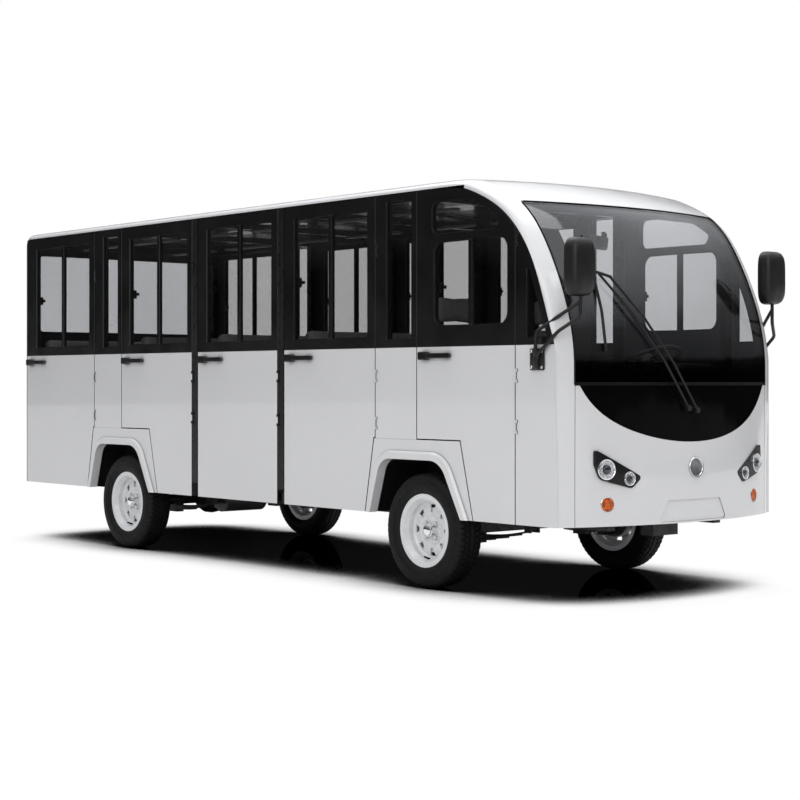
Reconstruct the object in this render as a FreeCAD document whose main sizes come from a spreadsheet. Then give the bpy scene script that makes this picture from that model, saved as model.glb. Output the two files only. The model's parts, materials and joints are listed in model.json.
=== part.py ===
"""Enclosed electric sightseeing vehicle: five rows of seats, ten side doors, steered front axle.

Millimetres. +Z is up, the front looks along -Y and the vehicle's left side is +X. The origin is on
the ground, under the middle of the length. Distances along the vehicle are first counted from the
front axle, positive to the rear, and `along` moves them to the origin.
"""
import FreeCAD, Part

import math
import os
import re
from types import SimpleNamespace

import Sketcher

from FreeCAD import Placement, Rotation, Vector

DOC = FreeCAD.newDocument("sightseeing_vehicle")

# ---------------------------------------------------------------- driving sizes

SIZES = {
    # overall
    "body_width": (1553, "over the flat side panels"),
    "wheelbase": (2806, "front axle to rear axle"),
    "front_overhang": (1120, "front axle to the tip of the chin"),
    "rear_overhang": (1258, "rear axle to the rear panel"),
    "body_bottom": (362, "lower edge of doors and panels"),
    "belt_height": (1202, "where white panels end and black frames begin"),
    "roof_edge": (2020, "roof height at the sides before the edge is rounded"),
    "roof_crown": (8, "rise of the roof from the sides to the middle"),
    "door_top": (1984, "upper edge of the doors"),
    # front form
    "cowl_height": (1100, "where the windscreen starts to lean back"),
    "brow_run": (840, "length over which the screen turns into the roof"),
    "screen_bow": (2550, "plan radius of the windscreen"),
    "chin_bulge": (39, "how far the chin stands out from the screen foot"),
    "chin_inset": (104.5, "edge of the chin bulge inside the side plane"),
    "edge_width": (79.5, "width of the rounded corner across the vehicle"),
    "edge_depth": (30, "depth of the rounded corner along the vehicle and down the roof"),
    "rear_edge_depth": (27, "depth of the rounded corner at the rear"),
    "rear_roof_radius": (60, "radius from the roof into the rear panel"),
    "shell_wall": (30, "thickness of the moulded front, roof and rear shells"),
    "glass_wall": (6, "thickness of all glass"),
    # side layout
    "hoop_set": (173, "front edge of the side wall behind the tip of the chin"),
    "front_door_from": (-685, "front edge of the front door behind the front axle"),
    "front_door_to": (21, "rear edge of the front door behind the front axle"),
    "door_two_from": (347, "front edge of the second door behind the front axle"),
    "door_pillar": (62, "pillar between two row doors"),
    "door_four_past": (17, "rear edge of the fourth door behind the rear axle"),
    "door_five_past": (347, "front edge of the fifth door behind the rear axle"),
    "rear_corner": (31, "rear edge of the fifth door to the rear panel"),
    "door_wall": (35, "thickness of doors and side panels"),
    "door_gap": (6, "gap round each door"),
    "hinge_out": (2, "door hinge axis outside the side plane"),
    # wheel arches
    "arch_top": (642, "top of the wheel opening"),
    "fender_top": (742, "top of the wheel-arch panel"),
    "flare_out": (18, "how far the arch lip stands out"),
    "flare_width": (42, "width of the arch lip"),
    # wheels
    "tyre_radius": (288, "rolling radius"),
    "tyre_width": (172, "section width"),
    "rim_radius": (165, "bead seat radius"),
    "rim_flange": (184, "radius of the rim's edge"),
    "rim_width": (132, "over the rim flanges"),
    "wheel_inset": (30, "outer rim edge inside the side plane"),
    "bolt_circle": (100, "wheel bolt circle diameter"),
    "bolt_hole": (13, "wheel bolt hole diameter"),
    "hub_bore": (60, "centre bore of the wheel disc"),
    # chassis
    "rail_inset": (295.5, "chassis rail inside the wheel's middle"),
    "rail_height": (90, "height of a chassis rail"),
    "rail_thick": (50, "width of a chassis rail"),
    "floor_height": (440, "top of the floor"),
    "floor_wall": (24, "thickness of the floor"),
    "post": (42, "side of a body post"),
    "spring_width": (48, "width of the leaf springs"),
    "axle_tube": (64, "diameter of the rear axle tubes"),
    # cabin
    "bench_set": (90, "rear edge of a bench's back ahead of its door's rear edge"),
    "seat_height": (800, "top of the bench cushions"),
    "seat_depth": (430, "cushion length"),
    "cushion": (95, "cushion thickness"),
    "back_height": (540, "height of a seat back"),
    "back_wall": (90, "thickness of a seat back"),
    "bench_inset": (86.5, "end of a bench inside the side plane"),
    "bucket_width": (520, "width of a front seat"),
    # tow hitch
    "hitch_pin": (20, "bore of the tow hitch"),
    "hitch_plate": (12, "thickness of each tow hitch plate"),
    "hitch_mouth": (40, "clear height between the tow hitch plates"),
}

# Places along the vehicle behind the front axle that follow from the sizes.
PLACES = {
    "middle": ("(wheelbase + rear_overhang - front_overhang) / 2", "middle of the length"),
    "tail": ("wheelbase + rear_overhang", "rear panel"),
    "hoop_front": ("hoop_set - front_overhang", "front edge of the side wall"),
    "row_door": ("(wheelbase + door_four_past - door_two_from - 2 * door_pillar) / 3",
                 "length of a row door"),
    "door_two_to": ("door_two_from + row_door", "rear edge of the second door"),
    "door_three_from": ("door_two_to + door_pillar", "front edge of the third door"),
    "door_three_to": ("door_three_from + row_door", "rear edge of the third door"),
    "door_four_from": ("door_three_to + door_pillar", "front edge of the fourth door"),
    "door_four_to": ("wheelbase + door_four_past", "rear edge of the fourth door"),
    "door_five_from": ("wheelbase + door_five_past", "front edge of the fifth door"),
    "door_five_to": ("tail - rear_corner", "rear edge of the fifth door"),
    "wheel_middle": ("body_width / 2 - wheel_inset - rim_width / 2", "wheel from the middle plane"),
    "rail_half": ("wheel_middle - rail_inset", "middle of the vehicle to a chassis rail"),
    "bench_width": ("body_width - 2 * bench_inset", "width of a bench"),
}


def bound(text):
    """Turn the size names in a formula into cells of the two sheets."""
    def cell(word):
        sheet = "Sizes." if word[0] in SIZES else "Places." if word[0] in PLACES else ""
        return sheet + word[0]
    return re.sub(r"[a-z_]+", cell, str(text))


def sheet(name, rows):
    made = DOC.addObject("Spreadsheet::Sheet", name)
    for row, (alias, (content, note)) in enumerate(rows.items(), start=1):
        made.set(f"A{row}", note)
        made.set(f"B{row}", content)
        made.setAlias(f"B{row}", alias)
    DOC.recompute()
    return {alias: float(getattr(made, alias)) for alias in rows}


numbers = sheet("Sizes", {alias: (str(size), note) for alias, (size, note) in SIZES.items()})
formulas = {alias: ("=" + bound(text).replace("Places.", ""), note) for alias, (text, note) in PLACES.items()}
d = SimpleNamespace(**numbers, **sheet("Places", formulas))

half = d.body_width / 2
EDGE_START = half - d.edge_width
SIDES = {"left": 1, "right": -1}
# Clearance of a piece in its seat, and of a shaft in its bore.
FIT, BORE_FIT = 0.3, 0.05
NODES = []


def along(distance):
    """Place along the vehicle in the part's frame, from the distance behind the front axle."""
    return distance - d.middle


# ---------------------------------------------------------------- helpers

def bind(thing, **formulas):
    for name, text in formulas.items():
        thing.setExpression(name.replace("__", "."), bound(text))
    return thing


def place(thing, x, y, z):
    """Bind a piece's own corner or centre to a place."""
    return bind(thing, Placement__Base__x=x, Placement__Base__y=y, Placement__Base__z=z)


def put(thing, x, y, z):
    """Bind a piece's own corner or centre to a place whose y is counted behind the front axle."""
    return place(thing, x, f"({y}) - middle", z)


def block(name, x, y, z, width, length, height, placed=put):
    """Box given by its middle in x, its front end y, its underside z and its sizes."""
    thing = DOC.addObject("Part::Box", name)
    bind(thing, Width=length, Length=width, Height=height)
    return placed(thing, f"({x}) - ({width}) / 2", y, z)


def rod(name, x, y, z, radius, length, direction):
    """Cylinder from the point x, y, z along a direction."""
    thing = DOC.addObject("Part::Cylinder", name)
    bind(thing, Radius=radius, Height=length)
    thing.Placement = Placement(Vector(), Rotation(Vector(0, 0, 1), Vector(*direction)))
    return put(thing, x, y, z)


def fuse(name, things):
    joined = DOC.addObject("Part::MultiFuse", name)
    joined.Shapes = things
    joined.Refine = True
    return joined


def cut(name, base, tool):
    result = DOC.addObject("Part::Cut", name)
    result.Base = base
    result.Tool = tool
    return result


def group(name, things):
    """Several solids that don't touch, as one sub-part."""
    together = DOC.addObject("Part::Compound", name)
    together.Links = things
    return together


def mirror_of(thing, name):
    """The same piece on the other side of the vehicle, as an object."""
    copy = DOC.addObject("Part::Mirroring", name)
    copy.Source = thing
    copy.Normal = (1, 0, 0)
    return copy


def formed(name, shape):
    """A moulded or free-form piece, worked out with Part's own functions."""
    thing = DOC.addObject("Part::Feature", name)
    thing.Shape = shape
    return thing


def node(thing, label):
    """Register a finished sub-part under the name of its file."""
    thing.Label = label
    NODES.append(thing)
    return thing


def wire_side(points, x):
    """Closed polygon in a side view: points are (behind the front axle, height)."""
    ring_points = [Vector(x, along(y), z) for y, z in points]
    return Part.makePolygon(ring_points + ring_points[:1])


def prism_side(wire, thickness):
    """Solid from a side-view wire, thick along +X."""
    return Part.Face(wire).extrude(Vector(thickness, 0, 0))


def rounded(points, radii):
    """Closed outline of straight runs whose corners are rounded; radii match the points."""
    edges = []
    count = len(points)
    ends = []
    for index, corner in enumerate(points):
        before = (points[index - 1] - corner).normalize()
        after = (points[(index + 1) % count] - corner).normalize()
        radius = radii[index]
        if radius <= 0:
            ends.append((corner, None, corner))
            continue
        turn = before.getAngle(after)
        reach = radius / math.tan(turn / 2)
        start = corner + before * reach
        stop = corner + after * reach
        bisector = (before + after).normalize()
        middle_point = corner + bisector * (radius / math.sin(turn / 2) - radius)
        ends.append((start, middle_point, stop))
    for index, (start, middle_point, stop) in enumerate(ends):
        if middle_point is not None:
            edges.append(Part.Arc(start, middle_point, stop).toShape())
        following = ends[(index + 1) % count][0]
        if stop.distanceToPoint(following) > 1e-6:
            edges.append(Part.makeLine(stop, following))
    return Part.Wire(edges)


def rounded_side(points, radii, x):
    return rounded([Vector(x, along(y), z) for y, z in points], radii)


def rectangle(y_from, y_to, z_from, z_to):
    return [(y_from, z_from), (y_to, z_from), (y_to, z_to), (y_from, z_to)]


def mirrored(shape):
    """The same shape on the other side of the vehicle."""
    return shape.mirror(Vector(), Vector(1, 0, 0))


# ---------------------------------------------------------------- outer form of the body

# The brow: windscreen leaning back into the roof, as parts of its run and rise.
BROW = ((0.0, 0.0), (0.042, 0.262), (0.190, 0.587), (0.417, 0.848), (0.658, 0.962), (1.0, 1.0))


def spline(points, first=None, last=None):
    curve = Part.BSplineCurve()
    if first is None:
        curve.interpolate(points)
    else:
        curve.interpolate(points, InitialTangent=first, FinalTangent=last)
    return curve


def brow_points(front, top, inset):
    """Points of the brow in a side view, moved inwards by the inset."""
    rise = top - d.cowl_height
    points = [Vector(0, front + u * d.brow_run, d.cowl_height + v * rise) for u, v in BROW]
    curve = spline(points, Vector(0, 0, 1), Vector(0, 1, 0))
    moved = []
    for index, point in enumerate(points):
        if index == 0:
            normal = Vector(0, 1, 0)
        elif index == len(points) - 1:
            normal = Vector(0, 0, -1)
        else:
            direction = Vector(curve.tangent(curve.parameter(point))[0])
            normal = Vector(0, direction.z, -direction.y)
        moved.append(point + normal * inset)
    return moved


def body_section(x, inset):
    """Closed outline of the body in the plane at x, moved inwards by the inset."""
    reach = max(0.0, (abs(x) - EDGE_START) / (half - inset - EDGE_START))
    turn = 1 - math.sqrt(max(0.0, 1 - reach * reach))
    deep = inset + turn * d.edge_depth
    rear_deep = inset + turn * d.rear_edge_depth
    front = -(d.front_overhang - d.chin_bulge) + x * x / (2 * d.screen_bow)
    bulge = d.chin_bulge * (1 - (x / (half - d.chin_inset)) ** 2)
    top = d.roof_edge + d.roof_crown * (1 - (x / half) ** 2)
    brow = brow_points(front, top, deep)
    rear = d.tail - rear_deep
    radius = d.rear_roof_radius
    low = d.body_bottom
    chin = [Vector(0, front - bulge + deep, low),
            Vector(0, front - bulge + deep, low + 0.35 * (d.cowl_height - low)),
            Vector(0, front - 0.4 * bulge + deep, low + 0.62 * (d.cowl_height - low)),
            brow[0]]
    roof_end = Vector(0, rear - radius, top - deep)
    rear_start = Vector(0, rear, top - deep - radius)
    bend = Vector(0, rear - radius * (1 - math.sqrt(0.5)), top - deep - radius * (1 - math.sqrt(0.5)))
    edges = [
        spline(chin, Vector(0, 0, 1), Vector(0, 0, 1)).toShape(),
        spline(brow, Vector(0, 0, 1), Vector(0, 1, 0)).toShape(),
        Part.makeLine(brow[-1], roof_end),
        Part.Arc(roof_end, bend, rear_start).toShape(),
        Part.makeLine(rear_start, Vector(0, rear, low)),
        Part.makeLine(Vector(0, rear, low), chin[0]),
    ]
    wire = Part.Wire(edges)
    wire.translate(Vector(x, -d.middle, 0))
    return wire


def body_form(inset):
    """The solid form of the whole body, moved inwards by the inset, with rounded long edges."""
    inner = EDGE_START
    width = half - inset - inner
    middle_part = Part.makeLoft([body_section(x * inner / 3, inset) for x in range(-3, 4)], True)
    turns = [math.radians(angle) for angle in (0, 18, 36, 54, 72, 90)]
    corner = Part.makeLoft([body_section(inner + width * math.sin(turn), inset) for turn in turns], True)
    return middle_part.fuse([corner, mirrored(corner)]).removeSplitter()


BODY = body_form(0)
BODY_INNER = body_form(d.shell_wall)
BODY_GLASS = body_form(d.glass_wall)
SHELL = BODY.cut(BODY_INNER)

# Inner edge of the white hoop: up the front corner, over the door and back along the roof.
HOOP = ((0.0, 1120), (38, 1300), (168, 1634), (370, 1858), (580, 1957))
HOOP_RUN = 797


def hoop_wire(gap, x):
    """Everything behind and under the hoop's inner edge, as a closed side-view outline."""
    front = d.hoop_front + gap
    top = d.door_top - gap
    points = [Vector(x, along(front + run), height - gap * 0.7 * (index > 0))
              for index, (run, height) in enumerate(HOOP)]
    points.append(Vector(x, along(d.hoop_front + HOOP_RUN), top))
    curve = spline(points, Vector(0, 0, 1), Vector(0, 1, 0)).toShape()
    rear = along(d.tail) + 100
    low = d.body_bottom - 100
    corner_top = Vector(x, rear, top)
    corner_low = Vector(x, rear, low)
    foot = Vector(x, along(front), low)
    return Part.Wire([curve, Part.makeLine(points[-1], corner_top), Part.makeLine(corner_top, corner_low),
                      Part.makeLine(corner_low, foot), Part.makeLine(foot, points[0])])


# ---------------------------------------------------------------- front mask, screen, roof and rear

def facing(points, radii, depth_from, depth_to):
    """Prism along the vehicle from a front-view outline of (x, height) points."""
    wire = rounded([Vector(x, along(depth_from), z) for x, z in points], radii)
    return Part.Face(wire).extrude(Vector(0, depth_to - depth_from, 0))


SCREEN_LOW, SCREEN_TOP, SCREEN_CORNER = 1020, 1892, 22
AHEAD, SCREEN_BACK = -1300, -350


def screen_prism(gap):
    """Front-view outline of the windscreen, smaller by the gap."""
    low, top = SCREEN_LOW + gap, SCREEN_TOP - gap
    side = EDGE_START - 3 - gap
    radii = [0, 0, SCREEN_CORNER, SCREEN_CORNER]
    return facing([(-side, low), (side, low), (side, top), (-side, top)], radii, AHEAD, SCREEN_BACK)


# Lower edge of the dark panel on the left side, from its upper corner to the middle.
DARK_BOW = ((EDGE_START - 31, 1017), (EDGE_START - 144, 887), (EDGE_START - 369, 786), (0, 745))


def lower_glass_prism(gap):
    """Front-view outline of the dark panel under the windscreen: straight above, a deep bow below."""
    top = DARK_BOW[0][1] - gap
    right = [Vector(x - gap * (x > 0), along(AHEAD), z + gap) for x, z in DARK_BOW]
    right[0].z = top
    left = [Vector(-point.x, point.y, point.z) for point in reversed(right[:-1])]
    curve = spline(right + left).toShape()
    wire = Part.Wire([curve, Part.makeLine(left[-1], right[0])])
    return Part.Face(wire).extrude(Vector(0, 500, 0))


# Headlamp outline on the left side, and how far its face turns forward about its inner end.
LAMP_INSETS = ((98, 719), (355, 587), (294, 535), (125, 579), (97, 648))
LAMP = [(EDGE_START - inset, z) for inset, z in LAMP_INSETS]
LAMP_RADII = (8, 14, 30, 40, 30)
LAMP_TURN = 3.3


def lamp_prism(gap):
    """Front-view outline of a headlamp on the left side, smaller by the gap."""
    centre_x = sum(x for x, z in LAMP) / len(LAMP)
    centre_z = sum(z for x, z in LAMP) / len(LAMP)
    shrink = 1 - gap / 60
    points = [(centre_x + (x - centre_x) * shrink, centre_z + (z - centre_z) * shrink) for x, z in LAMP]
    return facing(points, LAMP_RADII, AHEAD, AHEAD + 450)


def big_box(x_from, x_to, y_from, y_to, z_from, z_to):
    corner = Vector(x_from, along(y_from), z_from)
    return Part.makeBox(x_to - x_from, y_to - y_from, z_to - z_from, corner)


ROOF_SEAM = -330
REAR_EDGE = d.door_five_to + d.door_gap / 2
WIDE = half + 60
FAR_BACK = d.tail + 50

under_hoop = prism_side(hoop_wire(0, -WIDE), 2 * WIDE)
lamps_open = lamp_prism(0).fuse(mirrored(lamp_prism(0)))

# Relief of the front: a crease like a smile over a sunk lower part, the recess for a number plate,
# and the seams between the middle and the corners.
CREASE_HALF = LAMP[1][0] - 42
CREASE = ((CREASE_HALF, 580), (0.8 * CREASE_HALF, 565), (23 / 60 * CREASE_HALF, 547), (0, 545))
CREASE_DEEP, CREASE_FADE = 7, 420
PLATE_RECESS = ((-245, 370), (245, 370), (186, 472), (-186, 472))
PLATE_CORNERS = (14, 14, 10, 10)
SEAM_HALF, SEAM_WIDTH, RELIEF = EDGE_START - 9, 3, 4


def crease_cut():
    """Wedge between the front and the same front leaned back under the crease."""
    left = [Vector(x, along(AHEAD), z) for x, z in CREASE]
    right = [Vector(-point.x, point.y, point.z) for point in reversed(left[:-1])]
    feet = [Vector(sign * CREASE[0][0], along(AHEAD), CREASE_FADE) for sign in (-1, 1)]
    edge = spline(left + right).toShape()
    wire = Part.Wire([edge, Part.makeLine(right[-1], feet[0]), Part.makeLine(feet[0], feet[1]),
                      Part.makeLine(feet[1], left[0])])
    below = Part.Face(wire).extrude(Vector(0, 500, 0))
    back = BODY.copy()
    angle = math.degrees(math.atan(CREASE_DEEP / (CREASE[-1][1] - CREASE_FADE)))
    back.rotate(Vector(0, along(-d.front_overhang), CREASE_FADE), Vector(1, 0, 0), angle)
    return below.cut(back)


relief_skin = BODY.cut(body_form(RELIEF))
recess = facing(PLATE_RECESS, PLATE_CORNERS, AHEAD, AHEAD + 400)
seams = [big_box(sign * SEAM_HALF - SEAM_WIDTH / 2, sign * SEAM_HALF + SEAM_WIDTH / 2, AHEAD, d.hoop_front,
                 d.body_bottom - 10, SCREEN_LOW - 3) for sign in SIDES.values()]

front_zone = big_box(-WIDE, WIDE, AHEAD, ROOF_SEAM, d.body_bottom - 60, d.roof_edge + 300)
mask = SHELL.common(front_zone).cut(under_hoop)
mask = mask.cut(screen_prism(0)).cut(lower_glass_prism(0)).cut(lamps_open)
mask = mask.cut(relief_skin.common(recess)).cut([relief_skin.common(seam) for seam in seams])
mask = mask.cut(crease_cut())
node(formed("front_mask_form", mask), "front_mask")

glass_skin = BODY.cut(BODY_GLASS)
node(formed("windscreen_form", glass_skin.common(screen_prism(0.4))), "windscreen")
node(formed("dark_panel_form", glass_skin.common(lower_glass_prism(0.4))), "dark_front_panel")

LAMP_DEEP = 25
lamp_face = BODY.copy()
lamp_face.rotate(Vector(LAMP[1][0], along(-d.front_overhang), 0), Vector(0, 0, 1), -LAMP_TURN)
lamp_seat = lamp_face.fuse(BODY).cut(body_form(d.shell_wall + LAMP_DEEP))
lamp_left = lamp_seat.common(lamp_prism(0.4)).removeSplitter()
node(formed("headlamps_form", Part.makeCompound([lamp_left, mirrored(lamp_left)])), "headlamps")

roof_zone = big_box(-WIDE, WIDE, ROOF_SEAM + 0.4, FAR_BACK, d.door_top, d.roof_edge + 300)
node(formed("roof_form", SHELL.common(roof_zone)), "roof_panel")

rear_zone = big_box(-WIDE, WIDE, REAR_EDGE, FAR_BACK, d.body_bottom - 60, d.door_top - 0.4)
REAR_WINDOW = {"side": half - 86.5, "above_belt": 168, "under_door_top": 104, "corner": 45}


def rear_window_prism(gap):
    side = REAR_WINDOW["side"] - gap
    low = d.belt_height + REAR_WINDOW["above_belt"] + gap
    top = d.door_top - REAR_WINDOW["under_door_top"] - gap
    corners = [(-side, low), (side, low), (side, top), (-side, top)]
    return facing(corners, [REAR_WINDOW["corner"]] * 4, d.door_five_to - 60, FAR_BACK + 30)


# Rear lamp: middle in x, underside, width and height.
TAIL = (half - 176.5, 900, 110, 260)
tail_open = big_box(TAIL[0] - TAIL[2] / 2 - 0.4, TAIL[0] + TAIL[2] / 2 + 0.4, REAR_EDGE, REAR_EDGE + 200,
                    TAIL[1] - 0.4, TAIL[1] + TAIL[3] + 0.4)
rear_shell = SHELL.common(rear_zone).cut(rear_window_prism(0)).cut(tail_open).cut(mirrored(tail_open))
node(formed("rear_form", rear_shell), "rear_panel")
node(formed("rear_window_form", glass_skin.common(rear_window_prism(0.4))), "rear_window")

# ---------------------------------------------------------------- sides: doors, panels and arches

# Reach of the arch panel and of the wheel opening ahead of the axle and behind it, at foot and head.
FENDER_FOOT, FENDER_HEAD = (414, 445), (298, 355)
ARCH_FOOT, ARCH_HEAD = (353, 391), (170, 288)


def fender_outline(axle, gap):
    """Wheel-arch panel in a side view, larger by the gap."""
    low, top = d.body_bottom - 100, d.fender_top + gap
    return [(axle - FENDER_FOOT[0] - gap, low), (axle - FENDER_HEAD[0] - gap, top),
            (axle + FENDER_HEAD[1] + gap, top), (axle + FENDER_FOOT[1] + gap, low)]


def arch_points(axle, grow):
    """Wheel opening in a side view, larger by `grow` all round."""
    low, top = d.body_bottom - 60, d.arch_top + grow
    return [(axle - ARCH_FOOT[0] - grow, low), (axle - ARCH_HEAD[0] - grow * 0.7, top),
            (axle + ARCH_HEAD[1] + grow * 0.7, top), (axle + ARCH_FOOT[1] + grow, low)]


ARCH_RADII = (0, 130, 95, 0)


def arch_prism(axle, grow, x, thickness):
    radii = [radius + grow * (radius > 0) for radius in ARCH_RADII]
    return prism_side(rounded_side(arch_points(axle, grow), radii, x), thickness)


def arch_panel(axle):
    """Panel round a wheel opening on the left side, with a lip standing out round the opening."""
    inner = half - d.door_wall
    slab = prism_side(wire_side(fender_outline(axle, -0.5), inner), d.door_wall)
    lip = arch_prism(axle, d.flare_width, half - 1, 1 + d.flare_out)
    sharp = [edge for edge in lip.Edges
             if all(abs(v.X - half - d.flare_out) < 0.1 for v in edge.Vertexes) and edge.BoundBox.ZMax > 400]
    lip = lip.makeChamfer(d.flare_out * 0.6, sharp)
    panel = slab.fuse(lip).cut(arch_prism(axle, 0, inner - 5, d.door_wall + 60))
    below = Part.makeBox(400, 1200, 300, Vector(inner - 10, along(axle) - 600, d.body_bottom - 300))
    return panel.cut(below).removeSplitter()


arches = [arch_panel(axle) for axle in (0, d.wheelbase)]
node(formed("arch_form", Part.makeCompound(arches + [mirrored(arch) for arch in arches])), "arch_panels")

# Each panel's windows: inside its front and rear edges, over the belt, under the door tops, the
# radius of the corners, and whether a bar divides the window.
WINDOWS = {
    "front_door": [(54, 125, 103, 264, 60, True), (108, 110, 553, 64, 45, False)],
    "second_door": [(65, 83, 55, 72, 6, True)],
    "third_door": [(58, 87, 55, 68, 6, True)],
    "fourth_door": [(50, 88, 54, 73, 6, True)],
    "fifth_door": [(64, 124, 53, 72, 6, True)],
    "panel_two": [(42, 84, 41, 39, 6, False)],
    "panel_four": [(47, 102, 42, 41, 6, False)],
}
# Front and rear edges of the pieces of the side wall.
SPANS = {
    "front_door": (d.front_door_from, d.front_door_to),
    "panel_two": (d.front_door_to, d.door_two_from),
    "second_door": (d.door_two_from, d.door_two_to),
    "third_door": (d.door_three_from, d.door_three_to),
    "fourth_door": (d.door_four_from, d.door_four_to),
    "panel_four": (d.door_four_to, d.door_five_from),
    "fifth_door": (d.door_five_from, d.door_five_to),
}
DOORS = [name for name in SPANS if name.endswith("door")]
BAR, WINDOW_FRAME = 24, 36


def window_corners(name, window):
    """Front, rear, lower and upper edge of a window."""
    ahead, behind, over, under = window[:4]
    front, rear = SPANS[name]
    return front + ahead, rear - behind, d.belt_height + over, d.door_top - under


def window_prism(name, window, gap, x, thickness):
    """Window opening in a side view, smaller by the gap and never nearer to the hoop than its frame."""
    front, rear, low, top = window_corners(name, window)
    corners = rectangle(front + gap, rear - gap, low + gap, top - gap)
    opening = prism_side(rounded_side(corners, [window[4]] * 4, x), thickness)
    return opening.common(prism_side(hoop_wire(WINDOW_FRAME + gap, x - 1), thickness + 2))


def window_bar(name, window, gap, x_from, x_to):
    """Upright bar in the middle of a window, wider by the gap."""
    front, rear, low, top = window_corners(name, window)
    centre = (front + rear) / 2
    return big_box(x_from, x_to, centre - BAR / 2 - gap, centre + BAR / 2 + gap, low - 5, top + 5)


def with_windows(slab, name):
    """Cut a panel's window openings on the left side and keep the dividing bars."""
    for window in WINDOWS[name]:
        slab = slab.cut(window_prism(name, window, 0, half - 100, 200))
        if window[5]:
            slab = slab.fuse(window_bar(name, window, 0, half - d.door_wall + 8, half - 4))
    return slab.removeSplitter()


def panes(name):
    """Glass of a panel's windows on the left side, on either side of the dividing bar."""
    glass = []
    depth = half - d.door_wall / 2 - d.glass_wall / 2
    for window in WINDOWS[name]:
        pane = window_prism(name, window, FIT, depth, d.glass_wall)
        if window[5]:
            pane = pane.cut(window_bar(name, window, FIT, depth - 5, depth + 20))
        glass.extend(pane.Solids)
    return glass


def side_slab(y_from, y_to, z_from, gap):
    """Flat piece of the left side wall, clear of the hoop above and the arch panels below."""
    slab = big_box(half - d.door_wall, half, y_from, y_to, z_from, d.door_top)
    slab = slab.common(prism_side(hoop_wire(gap, -WIDE), 2 * WIDE))
    for axle in (0, d.wheelbase):
        slab = slab.cut(prism_side(wire_side(fender_outline(axle, gap), half - 200), 400))
    return slab


def wall_piece(name, z_from, gap):
    """Door or fixed panel with its windows, without handle and hinges."""
    front, rear = SPANS[name]
    slab = side_slab(front + d.door_gap / 2, rear - d.door_gap / 2, z_from, gap)
    return with_windows(slab, name)


# Pull handle: height of its middle under the belt, reach ahead of the door's rear edge, and sizes.
HANDLE_DROP, HANDLE_FROM, HANDLE_TO = 43, 262, 40
GRIP = {"height": 26, "out": 17, "thick": 13}
LOCK = {"height": 42, "length": 58, "out": 34}


def handle(name):
    """Pull handle near the rear edge: a thin grip on a foot ahead, and the lock's body behind."""
    rear = SPANS[name][1]
    height = d.belt_height - HANDLE_DROP

    def bar(y_from, y_to, out_from, out_to, tall):
        return big_box(half + out_from, half + out_to, rear - y_from, rear - y_to, height - tall / 2,
                       height + tall / 2)

    grip = bar(HANDLE_FROM, HANDLE_TO + 20, GRIP["out"], GRIP["out"] + GRIP["thick"], GRIP["height"])
    grip = grip.makeFillet(5, grip.Edges)
    foot = bar(HANDLE_FROM - 8, HANDLE_FROM - 56, -2, GRIP["out"] + 2, GRIP["height"] - 6)
    lock = bar(HANDLE_TO + LOCK["length"], HANDLE_TO, 0, LOCK["out"], LOCK["height"])
    lock = lock.makeFillet(8, [edge for edge in lock.Edges if edge.BoundBox.XMax > half + 1])
    heel = bar(HANDLE_TO + LOCK["length"] - 10, HANDLE_TO + 10, -2, 2, LOCK["height"] - 10)
    return grip.fuse([foot, lock, heel]).removeSplitter()


# Door hinges: a middle knuckle on the door, two outer ones and their pin on the piece in front.
HINGE_HEIGHTS = (820, 1060, 1700)
KNUCKLE, KNUCKLE_HALF, END_KNUCKLE, HINGE_PIN = 6, 18, 14, 2.5


def hinge_line(name):
    """Hinge axis of a door on the left side, behind the front axle."""
    return SPANS[name][0] - d.door_gap / 2


def hinge_round(name, radius, low, tall):
    return Part.makeCylinder(radius, tall, Vector(half + d.hinge_out, along(hinge_line(name)), low))


def hinge_web(name, low, tall, way):
    """Leaf joining a knuckle to the door behind it (way 1) or to the piece in front (way -1)."""
    line = hinge_line(name)
    y_from, y_to = (line, line + 14) if way > 0 else (line - 14, line)
    return big_box(half - 3, half + d.hinge_out + 2, y_from, y_to, low, low + tall)


def hinge_on_door(shell, name):
    for height in HINGE_HEIGHTS:
        low, tall = height - KNUCKLE_HALF, 2 * KNUCKLE_HALF
        shell = shell.fuse([hinge_round(name, KNUCKLE, low, tall), hinge_web(name, low, tall, 1)])
        shell = shell.cut(hinge_round(name, HINGE_PIN + BORE_FIT, low - 1, tall + 2))
    return shell


def hinge_on_body(carrier, name):
    """Add a door's outer hinge knuckles and pins to the piece that carries it."""
    for height in HINGE_HEIGHTS:
        reach = KNUCKLE_HALF + FIT
        carrier = carrier.cut(hinge_round(name, KNUCKLE + 0.4, height - reach, 2 * reach))
        ends = []
        for low in (height + reach, height - reach - END_KNUCKLE):
            ends.append(hinge_round(name, KNUCKLE, low, END_KNUCKLE))
            ends.append(hinge_web(name, low, END_KNUCKLE, -1))
        ends.append(hinge_round(name, HINGE_PIN, height - reach - END_KNUCKLE, 2 * (reach + END_KNUCKLE)))
        carrier = carrier.fuse(ends)
    return carrier


for door in DOORS:
    shell = wall_piece(door, d.body_bottom, d.door_gap).fuse(handle(door))
    shell = hinge_on_door(shell, door).removeSplitter()
    glass = Part.makeCompound(panes(door))
    for side, sign in SIDES.items():
        shape = shell if sign > 0 else mirrored(shell)
        pane = glass if sign > 0 else mirrored(glass)
        node(formed(f"{door}_{side}_form", shape), f"{door}_{side}")
        node(formed(f"{door}_{side}_glass_form", pane), f"{door}_{side}_glass")

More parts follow.
